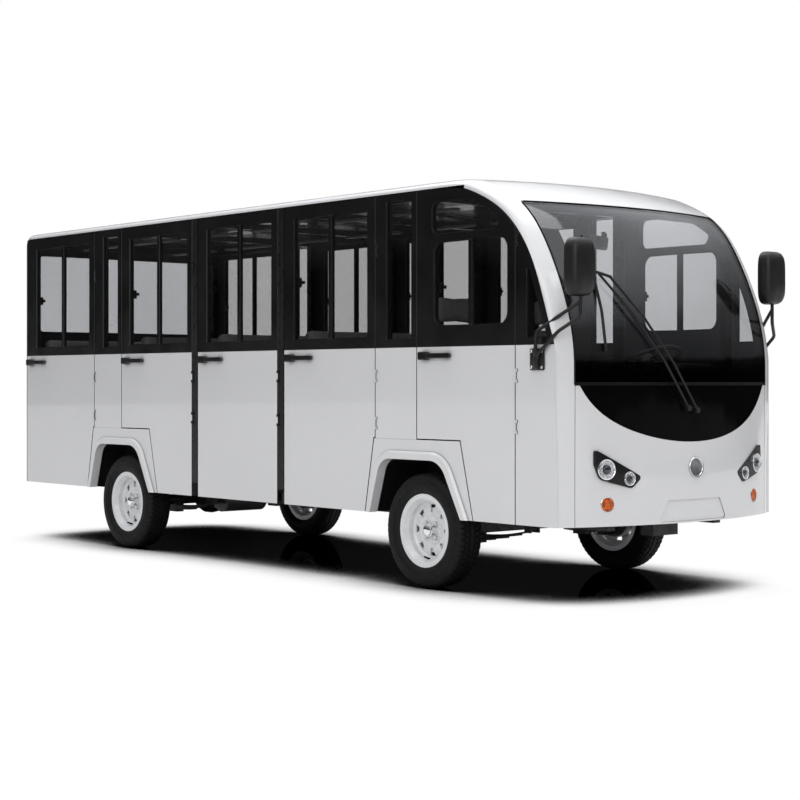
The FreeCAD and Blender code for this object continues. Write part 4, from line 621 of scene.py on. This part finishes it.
# Turned profiles as (out of the surface, share of the radius).
BEZEL = ((-0.004, 1.02), (0.002, 1.07), (0.0055, 1.05), (0.0065, 1.0), (0.005, 0.955), (0.001, 0.93))
DISH = ((0.005, 0.97), (0.0042, 0.88), (0.003, 0.84), (0.0026, 0.74), (0.0015, 0.7), (0.001, 0.5))
PROJECTOR_RIM = ((0.0005, 0.5), (0.0052, 0.47), (0.0052, 0.42))
INDICATOR_SEAT = ((-0.002, 0.9), (-0.002, 1.04), (0.002, 1.05), (0.0035, 1.0), (0.003, 0.93))
DISC = ((-0.003, 0.0), (-0.003, 1.0), (0.005, 1.0), (0.0075, 0.96), (0.0065, 0.86), (0.0035, 0.82),
        (0.003, 0.5), (0.003, 0.0))
INDICATOR_LENS = ((-0.003, 0.94), (0.005, 0.94), (0.007, 0.86), (0.0062, 0.83), (0.0083, 0.69),
                  (0.0075, 0.66), (0.0096, 0.52), (0.0088, 0.49), (0.0109, 0.35), (0.0101, 0.32),
                  (0.0122, 0.18), (0.0114, 0.15), (0.0125, 0.0))
LAMP_OUT = 0.001
# Projector's dome: height of its foot, its rise and width as shares of the radius, and its rings.
DOME_FOOT, DOME_RISE, DOME_WIDTH, DOME_STEPS = 0.004, 0.16, 0.4, 8


def sized(profile, radius):
    return [(out, radius * share) for out, share in profile]


def projector_profile(radius):
    """Dark domed projector glass standing in the dish."""
    dome = []
    for step in range(DOME_STEPS + 1):
        angle = math.pi / 2 * step / DOME_STEPS
        rise, reach = DOME_RISE * math.sin(angle), DOME_WIDTH * math.cos(angle)
        dome.append((DOME_FOOT + radius * rise, radius * reach))
    return sized(PROJECTOR_RIM, radius) + dome


def build_round_lamp(name, x, z, radius):
    """Bezel, stepped reflector and projector of one lamp, set on its housing."""
    point, normal = lamp_face.ahead(x, z)
    point = point + normal * LAMP_OUT
    lathe_piece(f"{name}_bezel", sized(BEZEL, radius), point, normal, CHROME, "body")
    lathe_piece(f"{name}_reflector", sized(DISH, radius), point, normal, REFLECTOR, "body", 64)
    projector = projector_profile(radius)
    lathe_piece(f"{name}_projector", projector, point, normal, SCREEN_GLASS, "body")


def build_indicator(name, x, z, radius):
    """Domed amber lens with stepped rings, in a thin bright seat."""
    point, normal = front_face.ahead(x, z)
    lathe_piece(f"{name}_lens", sized(INDICATOR_LENS, radius), point, normal, AMBER, "body", 64)
    lathe_piece(f"{name}_seat", sized(INDICATOR_SEAT, radius), point, normal, CHROME, "body")


for side, sign in SIDES.items():
    build_round_lamp(f"main_lamp_{side}", sign * MAIN_LAMP[0], *MAIN_LAMP[1:])
    build_round_lamp(f"side_lamp_{side}", sign * SIDE_LAMP[0], *SIDE_LAMP[1:])
    build_indicator(f"indicator_{side}", sign * INDICATOR[0], *INDICATOR[1:])

place, outward = front_face.ahead(0, DISC_HEIGHT)
lathe_piece("front_disc", sized(DISC, DISC_RADIUS), place, outward, SATIN, "body", 64)


def outline_on_front(points, lift):
    """Follow a front-view outline on the outside of the front, a little proud of it."""
    run = []
    for start, stop in zip(points, points[1:] + points[:1]):
        steps = max(1, round((Vector(stop) - Vector(start)).length / RUN_STEP))
        for step in range(steps):
            hit, normal = front_face.ahead(*Vector(start).lerp(Vector(stop), step / steps))
            run.append(hit + normal * lift)
    return run


screen_low, screen_high, _ = span("windscreen")
# Spacing of points along an outline, and the rounding of the windscreen's upper corners.
RUN_STEP, SCREEN_CORNER, CORNER_STEPS = 0.04, 0.022, 4
# Beads: how far inside the glass's edge or its side, how proud, and how thick.
SEAL_INSIDE, SEAL_LIFT, SEAL_RADIUS = 0.004, 0.0005, 0.0042
FOOT_INSIDE, FOOT_LIFT, FOOT_RADIUS, FOOT_STEPS = 0.002, 0.0003, 0.0048, 40
# Printed border: how far from the glass's edge it starts, how wide it is at the sides, the top and the foot,
# how far behind the outside of the glass it lies, and its thickness.
BORDER_EDGE, BORDER_SIDE, BORDER_TOP, BORDER_FOOT = 0.008, 0.095, 0.042, 0.05
BORDER_BEHIND, BORDER_THICK = 0.0068, 0.0004
BORDER_ACROSS, BORDER_ALONG = 4, 24


def screen_outline(inside):
    """Windscreen's edge seen from the front, with its two upper corners rounded."""
    side, low, high = screen_high.x - inside, screen_low.z + inside, screen_high.z - inside
    turns = [math.pi / 2 * step / CORNER_STEPS for step in range(CORNER_STEPS + 1)]
    corner = [(side - SCREEN_CORNER * (1 - math.cos(turn)), high - SCREEN_CORNER * (1 - math.sin(turn)))
              for turn in turns]
    right = [(-x, z) for x, z in reversed(corner)]
    return [(side, low)] + corner + right + [(-side, low)]


def foot_run():
    """Points along the joint between the windscreen's foot and the dark panel."""
    height = (screen_low.z + span("dark_front_panel")[1].z) / 2
    reach = screen_high.x - FOOT_INSIDE
    hits = [front_face.ahead((step / (FOOT_STEPS / 2) - 1) * reach, height) for step in range(FOOT_STEPS + 1)]
    return [hit + normal * FOOT_LIFT for hit, normal in hits]


def border_run(side, low, high):
    """Points round a rectangle in the front view, from its lower left corner."""
    corners = [Vector(corner) for corner in ((side, low), (side, high), (-side, high), (-side, low))]
    return [start.lerp(stop, step / BORDER_ALONG) for start, stop in zip(corners, corners[1:] + corners[:1])
            for step in range(BORDER_ALONG)]


def build_border():
    """Dark printed band round the windscreen, just behind the glass."""
    glass = Surface("windscreen")
    side, low, high = screen_high.x - BORDER_EDGE, screen_low.z + BORDER_EDGE, screen_high.z - BORDER_EDGE
    outer = border_run(side, low, high)
    inner = border_run(side - BORDER_SIDE, low + BORDER_FOOT, high - BORDER_TOP)
    bm = bmesh.new()
    rows = []
    for start, stop in zip(outer, inner):
        row = []
        for part in range(BORDER_ACROSS + 1):
            hit, normal = glass.ahead(*start.lerp(stop, part / BORDER_ACROSS))
            row.append(bm.verts.new(hit - normal * BORDER_BEHIND))
        rows.append(row)
    join_rows(bm, rows)
    bmesh.ops.recalc_face_normals(bm, faces=bm.faces)
    bmesh.ops.solidify(bm, geom=bm.faces[:], thickness=BORDER_THICK)
    piece_from("windscreen_border", bm, RUBBER)


edge_run = outline_on_front(screen_outline(SEAL_INSIDE), SEAL_LIFT)
strip_piece("windscreen_seal", [edge_run], SEAL_RADIUS, RUBBER, closed=True)
strip_piece("windscreen_foot", [foot_run()], FOOT_RADIUS, RUBBER)
build_border()

# ---- windows

# Beads on the panes' edges: how far off the pane and how thick.
GASKET_OFF, GASKET = 0.001, 0.005
# Latch and pull of a sliding pane, from its inner face, rear edge and middle height; such a pane is tall.
LATCH = (((-0.008, -0.018, -0.015), (0.016, 0.03, 0.052), 0.004),
         ((-0.016, -0.04, -0.015), (0.01, 0.03, 0.018), 0.004))
TALL_PANE = 0.3


def outline_side(points, x):
    """Outline of a flat pane in the plane at x."""
    flat = [(point.y, point.z) for point in points]
    return [Vector((x, *flat[index])) for index in convex_hull_2d(flat)]


def build_gaskets(node, body, sign):
    """Rubber beads round each pane, outside and inside; gives the panes' boxes."""
    runs = []
    panes = solids_of(node, sign)
    for vertices in panes:
        low, high = box_of(vertices)
        for x in (low.x - GASKET_OFF, high.x + GASKET_OFF):
            outline = outline_side(vertices, x)
            if len(outline) > 2:
                runs.append(outline)
    name = f"{node}_{'left' if sign > 0 else 'right'}" if body == "body" else node
    strip_piece(f"{name}_gaskets", runs, GASKET, RUBBER, body, closed=True)
    return [box_of(vertices) for vertices in panes]


def build_latch(door, sign, pane):
    """Small latch and pull of the sliding pane, inside the glass."""
    low, high = pane
    corner = (sign * min(abs(low.x), abs(high.x)), high.y, (low.z + high.z) / 2)
    block_piece(f"{door}_window_latch", placed(LATCH, corner, sign), PLASTIC, door)


for door in DOORS:
    for side, sign in SIDES.items():
        panes = build_gaskets(f"{door}_{side}_glass", f"{door}_{side}", sign)
        rearmost = max(panes, key=lambda pane: (pane[1].z - pane[0].z > TALL_PANE, pane[1].y))
        build_latch(f"{door}_{side}", sign, rearmost)
for sign in SIDES.values():
    build_gaskets("fixed_side_glass", "body", sign)

# ---- mirrors

# Head: half its size, its middle, the power of its outline and its profile as (depth, share of size).
HEAD_OUT, HEAD_BACK = 0.697, -1.03
HEAD_HALF = Vector((0.0745, 0, 0.135))
HEAD_MIDDLE = Vector((HEAD_OUT, AXLE_FRONT + HEAD_BACK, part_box("mirrors")[1].z - HEAD_HALF.z))
HEAD_CORNER, HEAD_STEPS = 4.2, 72
HEAD_PROFILE = ((0.026, 0.86), (0.027, 0.93), (0.033, 0.945), (0.034, 0.975), (0.029, 0.998), (0.01, 1.0),
                (-0.008, 0.985), (-0.022, 0.945), (-0.033, 0.86), (-0.04, 0.72), (-0.0445, 0.52),
                (-0.0465, 0.28), (-0.047, 0.0))
GLASS_BACK, GLASS_SIZE, GLASS_EDGE = 0.028, (HEAD_HALF.x * 1.66, 0.006, HEAD_HALF.z * 1.74), 0.0028
# Arms as (outside the side wall, behind the front axle, height) along their bends.
STEM_OUT = HEAD_OUT - HALF
UPPER_ARM = ((0.012, -0.838, 1.12), (0.024, -0.842, 1.166), (0.026, -0.85, 1.262),
             (STEM_OUT, HEAD_BACK, 1.398))
LOWER_ARM = ((0.012, -0.846, 1.135), (0.022, -0.858, 1.16), (0.008, -0.975, 1.262),
             (STEM_OUT, HEAD_BACK, 1.33), (STEM_OUT, HEAD_BACK, 1.45))
ARM_RADIUS, ARM_BEND, BEND_STEPS = 0.0085, 0.018, 6
# Pad and bracket, from the side wall over the front axle, and the four screws round the pad's middle.
PAD = (((0.0055, -0.836, 1.135), (0.01, 0.09, 0.1), 0.004),
       ((0.0155, -0.84, 1.135), (0.022, 0.03, 0.088), 0.01))
SCREW_PROFILE = ((0.0035, 0.0075), (0.006, 0.0075), (0.0085, 0.0055), (0.009, 0.0))
SCREW_ALONG, SCREW_UP = 0.034, 0.037
# Mirror inside the windscreen: place seen from the front, then head, stem and foot behind the glass.
INNER_MIRROR, INNER_HEAD = (-0.33, 1.742), ((0.21, 0.03, 0.066), 0.012, (0.15, 0, 0.35))
INNER_HEAD_IN, INNER_STEM_IN, INNER_FOOT_IN = 0.075, 0.062, 0.014
INNER_STEM, INNER_FOOT = ((0.0, 0.007), (0.055, 0.006)), ((0.0, 0.0), (0.0, 0.016), (0.006, 0.014))


def bent(points):
    """Straight runs through the points with their corners rounded."""
    run = [points[0]]
    for before, corner, after in zip(points, points[1:], points[2:]):
        start = corner + (before - corner).normalized() * ARM_BEND
        stop = corner + (after - corner).normalized() * ARM_BEND
        for step in range(BEND_STEPS + 1):
            share = step / BEND_STEPS
            run.append(start.lerp(corner, share).lerp(corner.lerp(stop, share), share))
    return run + [points[-1]]


def add_head(bm, sign):
    """Crowned mirror head, closed at the back by the seat of its glass."""
    rows = []
    for step in range(HEAD_STEPS):
        angle = TAU * step / HEAD_STEPS
        across, up = math.cos(angle), math.sin(angle)
        reach = (abs(across) ** HEAD_CORNER + abs(up) ** HEAD_CORNER) ** (-1 / HEAD_CORNER)
        rows.append([bm.verts.new((sign * HEAD_MIDDLE.x + HEAD_HALF.x * scale * reach * across,
                                   HEAD_MIDDLE.y + depth, HEAD_MIDDLE.z + HEAD_HALF.z * scale * reach * up))
                     for depth, scale in HEAD_PROFILE])
    join_rows(bm, rows)
    bm.faces.new([row[0] for row in rows])


def build_mirror(side, sign):
    """Head on two bent tubes from a screwed pad, with its glass facing back."""
    bm = bmesh.new()
    add_head(bm, sign)
    pad = placed(PAD, (sign * HALF, AXLE_FRONT, 0), sign)
    for block in pad:
        add_block(bm, *block)
    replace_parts(piece_from(f"mirror_{side}", bm, PLASTIC), "mirrors")
    runs = [bent([Vector((sign * (HALF + out), AXLE_FRONT + back, up)) for out, back, up in route])
            for route in (UPPER_ARM, LOWER_ARM)]
    strip_piece(f"mirror_arms_{side}", runs, ARM_RADIUS, PLASTIC, round_steps=4)
    glass = Vector((sign * HEAD_MIDDLE.x, HEAD_MIDDLE.y + GLASS_BACK, HEAD_MIDDLE.z))
    block_piece(f"mirror_glass_{side}", ((glass, GLASS_SIZE, GLASS_EDGE),), MIRROR_GLASS)
    bm = bmesh.new()
    for y in (-SCREW_ALONG, SCREW_ALONG):
        for z in (-SCREW_UP, SCREW_UP):
            add_lathe(bm, SCREW_PROFILE, pad[0][0] + Vector((0, y, z)), (sign, 0, 0), 12)
    piece_from(f"mirror_screws_{side}", bm, SATIN)


def build_inner_mirror():
    point, normal = front_face.ahead(*INNER_MIRROR)
    bm = bmesh.new()
    add_block(bm, point - normal * INNER_HEAD_IN, *INNER_HEAD)
    add_lathe(bm, INNER_STEM, point - normal * INNER_STEM_IN, normal, 12)
    add_lathe(bm, INNER_FOOT, point - normal * INNER_FOOT_IN, normal, 20)
    piece_from("inner_mirror", bm, PLASTIC)


for side, sign in SIDES.items():
    build_mirror(side, sign)
build_inner_mirror()

# ---- tail lamps and cabin

# Tail lenses from the lowest up; how far a lens is sunk, its thickness, and what its size leaves free.
TAIL_LENSES = (("reverse", CLEAR_LENS), ("stop", FINISHES["red_lens"]), ("turn", AMBER))
TAIL_SUNK, TAIL_THICK, TAIL_SIDES, TAIL_GAP, TAIL_EDGE = 0.004, 0.012, 0.01, 0.008, 0.004
# Ribs of a tail lens: how many beside the middle one, pitch, stand-out, width, depth, free ends and edge.
RIBS, RIB_PITCH, RIB_OUT = 4, 0.01, 0.0016
RIB_WIDE, RIB_DEEP, RIB_ENDS, RIB_EDGE_ROUND = 0.003, 0.002, 0.018, 0.0008
# Instruments: hood and display from the steering wheel over the dashboard, switch panels from its edge.
HOOD = (((0, -0.1, 0.03), (0.3, 0.13, 0.085), 0.03, (-0.3, 0, 0)),)
DISPLAY = (((0, -0.03, 0.024), (0.22, 0.008, 0.05), 0.003, (-0.55, 0, 0)),)
SWITCHES = [((x, -0.062, -0.045), (0.13, 0.02, 0.05), 0.008, (-0.25, 0, 0)) for x in (-0.42, -0.1, 0.1)]
HUB_PAD = ((-0.01, 0.052), (0.012, 0.054), (0.026, 0.05), (0.034, 0.04), (0.038, 0.02), (0.039, 0.0))
HUB_AXIS = (0, 0.4, 0.9165)
# Ceiling lights: how far from the middle, the first one behind the front axle, their pitch, height and size.
STRIP_AT, STRIP_FIRST, STRIP_PITCH, STRIP_COUNT, STRIP_HEIGHT = 0.36, 0.43, 0.66, 6, 1.932
STRIP_SIZE, STRIP_EDGE = (0.05, 0.5, 0.014), 0.005


def build_tail_lenses(side, sign):
    """Three ribbed lenses on the housing of one tail lamp."""
    low, high = box_of(solids_of("tail_lamps", sign)[0])
    third = (high.z - low.z) / len(TAIL_LENSES)
    for index, (kind, finish) in enumerate(TAIL_LENSES):
        middle = ((low.x + high.x) / 2, high.y, low.z + third * (index + 0.5))
        size = (high.x - low.x - TAIL_SIDES, TAIL_THICK, third - TAIL_GAP)
        blocks = [((0, -TAIL_SUNK, 0), size, TAIL_EDGE)]
        for rib in range(-RIBS, RIBS + 1):
            size = (RIB_WIDE, RIB_DEEP, third - RIB_ENDS)
            blocks.append(((rib * RIB_PITCH, RIB_OUT, 0), size, RIB_EDGE_ROUND))
        block_piece(f"tail_{kind}_{side}", placed(blocks, middle), finish)


def build_dashboard():
    """Instrument hood with switch panels, a display, and the pad on the steering wheel's hub."""
    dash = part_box("dashboard")[1]
    wheel, _, hub = span("steering_wheel")
    over, edge = (hub.x, wheel.y, dash.z), (0, dash.y, dash.z)
    block_piece("instrument_hood", placed(HOOD, over) + placed(SWITCHES, edge), PLASTIC)
    block_piece("instrument_display", placed(DISPLAY, over), SCREEN_GLASS)
    lathe_piece("steering_hub_pad", HUB_PAD, hub, HUB_AXIS, PLASTIC, "steering_wheel")


for side, sign in SIDES.items():
    build_tail_lenses(side, sign)
build_dashboard()
for side, sign in SIDES.items():
    places = [Vector((sign * STRIP_AT, AXLE_FRONT + STRIP_FIRST + index * STRIP_PITCH, STRIP_HEIGHT))
              for index in range(STRIP_COUNT)]
    block_piece(f"ceiling_lights_{side}", [(place, STRIP_SIZE, STRIP_EDGE) for place in places], LIGHT_STRIP)

# ---- seats

# Pads: taken in before they are blown up, never moved further than the cap, and at least this thick.
SHRINK, PAD_CAP, PAD_LEAST = 0.01, 0.014, 0.05
SIM_FRAMES, PRESSURE, CLOTH_QUALITY = 20, 4.0, 4
VOXEL_BENCH, VOXEL_SMALL, BENCH_WIDTH = 0.01, 0.0065, 0.8
# Sewn channels: depth, half width and reach, and their place: a sixth of a bench, or a share of a small pad.
CHANNEL_DEPTH, CHANNEL_HALF, CHANNEL_REACH = 0.006, 0.007, 3
BENCH_PARTS, SMALL_SHARE = 6, 0.3
sewn = {}


def inflate(mesh, voxel):
    """Remesh a pad, blow it up as cloth under pressure, and keep each point near where it started."""
    scene = bpy.context.scene
    pad = bpy.data.objects.new("pad_in_work", mesh)
    scene.collection.objects.link(pad)
    remesh = pad.modifiers.new("remesh", "REMESH")
    remesh.mode = "VOXEL"
    remesh.voxel_size = voxel
    graph = bpy.context.evaluated_depsgraph_get()
    start = bpy.data.meshes.new_from_object(pad.evaluated_get(graph))
    pad.modifiers.clear()
    pad.data = start
    rest = [vertex.co.copy() for vertex in start.vertices]
    cloth = pad.modifiers.new("cloth", "CLOTH")
    cloth.settings.use_pressure = True
    cloth.settings.uniform_pressure_force = PRESSURE
    cloth.settings.effector_weights.gravity = 0
    cloth.settings.quality = CLOTH_QUALITY
    cloth.collision_settings.use_collision = False
    cloth.point_cache.frame_start, cloth.point_cache.frame_end = 1, SIM_FRAMES
    for step in range(1, SIM_FRAMES + 1):
        scene.frame_set(step)
    graph = bpy.context.evaluated_depsgraph_get()
    blown = bpy.data.meshes.new_from_object(pad.evaluated_get(graph))
    for vertex, origin in zip(blown.vertices, rest):
        move = vertex.co - origin
        if move.length > PAD_CAP:
            vertex.co = origin + move * (PAD_CAP / move.length)
    pad.modifiers.clear()
    pad.data = blown
    scene.frame_set(1)
    result = pad.data
    bpy.data.objects.remove(pad)
    return result


def sew(mesh, width):
    """Press the two sewn channels into a pad."""
    place = width / BENCH_PARTS if width > BENCH_WIDTH else width * SMALL_SHARE
    for vertex in mesh.vertices:
        for channel in (-place, place):
            away = abs(vertex.co.x - channel)
            if away < CHANNEL_HALF * CHANNEL_REACH:
                vertex.co -= vertex.normal * (CHANNEL_DEPTH * math.exp(-(away / CHANNEL_HALF) ** 2))


def build_pad(name, vertices, faces):
    """Cushion or back on the space of its CAD solid: simulated, then sewn along its channels."""
    low, high = box_of(vertices)
    centre, size = (low + high) / 2, high - low
    key = tuple(round(value, 3) for value in size)
    if key not in sewn:
        mesh = bpy.data.meshes.new(name)
        local = [[value * (1 - SHRINK * 2 / max(extent, PAD_LEAST))
                  for value, extent in zip(vertex - centre, size)] for vertex in vertices]
        mesh.from_pydata(local, [], faces)
        sewn[key] = inflate(mesh, VOXEL_BENCH if size.x > BENCH_WIDTH else VOXEL_SMALL)
        sew(sewn[key], size.x)
    mesh = sewn[key].copy()
    mesh.transform(Matrix.Translation(centre))
    piece = piece_from(name, mesh, FINISHES["grey_leather"], "body", 80)
    return piece


def row_and_side(solid):
    """Order of the seats: front rows first, each from the right side to the left."""
    low, _ = box_of(solid[0])
    return round(low.y, 2), round(low.x, 2)


for node, kind in (("seat_cushions", "cushion"), ("seat_backs", "back")):
    solids = sorted(islands(node), key=row_and_side)
    for index, (vertices, faces) in enumerate(solids):
        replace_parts(build_pad(f"seat_{kind}_{index + 1}", vertices, faces), node)

# ---- stage, light and camera

FLOOR_HALF, FLOOR_PAINT = 60, (0.78, 0.78, 0.78)
# Reach of the shadow under the body and the openness where it is black and where it ends; the floor's gloss.
SHADOW_REACH, SHADOW_DARK, SHADOW_CLEAR, SHADOW_RAYS = 0.8, 0.42, 0.8, 24
FLOOR_IMAGE, FLOOR_IMAGE_ROUGH = (0.04, 0.04, 0.04), 0.02
# Skyline that glossy surfaces mirror, as (height, colour); scale, detail and depth of its ragged edge.
SKYLINE = ((0.005, (0.01, 0.01, 0.01)), (0.03, (0.1, 0.1, 0.103)), (0.3, (0.22, 0.22, 0.2266)),
           (0.62, (1.25, 1.27, 1.32)))
SKYLINE_SCALE, SKYLINE_DETAIL, SKYLINE_RAGGED = 9, 5, -0.1
DOME_COLOUR, DOME_STRENGTH = (0.97, 0.98, 1.0), 0.54
# Lights as name, place, target, size, power and whether glossy surfaces mirror them.
LIGHTS = (
    ("overhead_softbox", (0, 0, 7.0), (0, 0, 0), (5, 9), 270, True),
    ("front_softbox", (1, -5.2, 9.2), (0, -2, 1.5), (7, 5), 300, False),
    ("key_softbox", (-9, -7, 5.2), (0, -0.3, 1), (8, 6), 310, True),
)
# Camera matched to the photo: ahead of the right front corner, level, at the height of the door handles.
CAMERA_PLACE, CAMERA_TURN = (-6.51, AXLE_FRONT - 6.63, 1.033), (90, 0, -40.22)
SENSOR_WIDTH, FOCAL_LENGTH, SHIFT_UP, SIGHT_END = 36, 79.25, -0.0233, 200


def build_floor():
    """Pale floor for the light; seen it is white, with a shadow and faint images; clear from below."""
    mesh = bpy.data.meshes.new("studio_floor")
    corners = [(x * FLOOR_HALF, y * FLOOR_HALF, 0) for x, y in ((-1, -1), (1, -1), (1, 1), (-1, 1))]
    mesh.from_pydata(corners, [], [(0, 1, 2, 3)])
    floor = bpy.data.objects.new("studio_floor", mesh)
    bpy.context.scene.collection.objects.link(floor)
    finish = Finish("studio_floor", Base_Color=FLOOR_PAINT, Roughness=0.5, Specular_IOR_Level=0.1)
    near = finish.add("ShaderNodeAmbientOcclusion", samples=SHADOW_RAYS)
    finish.set(near, Distance=SHADOW_REACH)
    glow = finish.add("ShaderNodeEmission")
    soft = finish.add("ShaderNodeMapRange", interpolation_type="SMOOTHSTEP")
    finish.set(soft, From_Min=SHADOW_DARK, From_Max=SHADOW_CLEAR)
    finish.link(near.outputs["AO"], soft.inputs["Value"])
    finish.link(soft.outputs[0], glow.inputs["Strength"])
    image = finish.add("ShaderNodeBsdfGlossy")
    finish.set(image, Color=FLOOR_IMAGE, Roughness=FLOOR_IMAGE_ROUGH)
    both = finish.add("ShaderNodeAddShader")
    finish.link(glow.outputs[0], both.inputs[0])
    finish.link(image.outputs[0], both.inputs[1])
    path = finish.add("ShaderNodeLightPath")
    bent_ray = finish.math("MAXIMUM", path.outputs["Is Glossy Ray"], path.outputs["Is Transmission Ray"])
    seen = finish.math("MAXIMUM", path.outputs["Is Camera Ray"], bent_ray)
    above = finish.blend(seen, finish.shader.outputs[0], both.outputs[0])
    behind = finish.add("ShaderNodeNewGeometry").outputs["Backfacing"]
    clear = finish.add("ShaderNodeBsdfTransparent").outputs[0]
    finish.link(finish.blend(behind, above, clear), finish.output.inputs["Surface"])
    mesh.materials.append(finish.material)


def build_world():
    """White backdrop where it is seen, an even studio dome for light, and a dark skyline for gloss."""
    world = bpy.data.worlds.new("studio")
    bpy.context.scene.world = world
    world.use_nodes = True
    sky = Nodes(world.node_tree)
    sky.tree.nodes.clear()
    output = sky.add("ShaderNodeOutputWorld")
    coords = sky.add("ShaderNodeTexCoord").outputs["Generated"]
    split = sky.add("ShaderNodeSeparateXYZ")
    sky.link(coords, split.inputs[0])
    rough = sky.add("ShaderNodeTexNoise")
    sky.set(rough, Scale=SKYLINE_SCALE, Detail=SKYLINE_DETAIL)
    sky.link(coords, rough.inputs["Vector"])
    lift = sky.add("ShaderNodeMath", operation="MULTIPLY_ADD")
    lift.inputs[1].default_value = SKYLINE_RAGGED
    sky.link(rough.outputs["Fac"], lift.inputs[0])
    sky.link(split.outputs["Z"], lift.inputs[2])
    ramp = sky.add("ShaderNodeValToRGB")
    stops = ramp.color_ramp.elements
    stops[0].position, stops[1].position = SKYLINE[0][0], SKYLINE[-1][0]
    for height, _ in SKYLINE[1:-1]:
        stops.new(height)
    for stop, (_, colour) in zip(stops, SKYLINE):
        stop.color = (*colour, 1)
    sky.link(lift.outputs[0], ramp.inputs[0])
    mirrored = sky.add("ShaderNodeBackground")
    sky.link(ramp.outputs[0], mirrored.inputs["Color"])
    dome = sky.add("ShaderNodeBackground")
    sky.set(dome, Color=DOME_COLOUR, Strength=DOME_STRENGTH)
    seen = sky.add("ShaderNodeBackground")
    sky.set(seen, Color=(1.0, 1.0, 1.0))
    path = sky.add("ShaderNodeLightPath")
    through = sky.math("MAXIMUM", path.outputs["Is Camera Ray"], path.outputs["Is Transmission Ray"])
    lit = sky.blend(path.outputs["Is Glossy Ray"], dome.outputs[0], mirrored.outputs[0])
    sky.link(sky.blend(through, lit, seen.outputs[0]), output.inputs["Surface"])


def area_light(name, place, target, size, power, mirrored):
    data = bpy.data.lights.new(name, "AREA")
    data.shape = "RECTANGLE"
    data.size, data.size_y = size
    data.energy = power
    lamp = bpy.data.objects.new(name, data)
    lamp.visible_glossy = mirrored
    lamp.location = place
    lamp.rotation_euler = (Vector(target) - Vector(place)).to_track_quat("-Z", "Y").to_euler()
    bpy.context.scene.collection.objects.link(lamp)


def build_camera():
    data = bpy.data.cameras.new("camera")
    data.sensor_width, data.lens = SENSOR_WIDTH, FOCAL_LENGTH
    data.shift_y = SHIFT_UP
    data.clip_end = SIGHT_END
    camera = bpy.data.objects.new("camera", data)
    camera.location = CAMERA_PLACE
    camera.rotation_euler = [math.radians(turn) for turn in CAMERA_TURN]
    bpy.context.scene.collection.objects.link(camera)
    bpy.context.scene.camera = camera


build_floor()
build_world()
for light in LIGHTS:
    area_light(*light)
build_camera()
bpy.context.scene.view_settings.view_transform = "Standard"
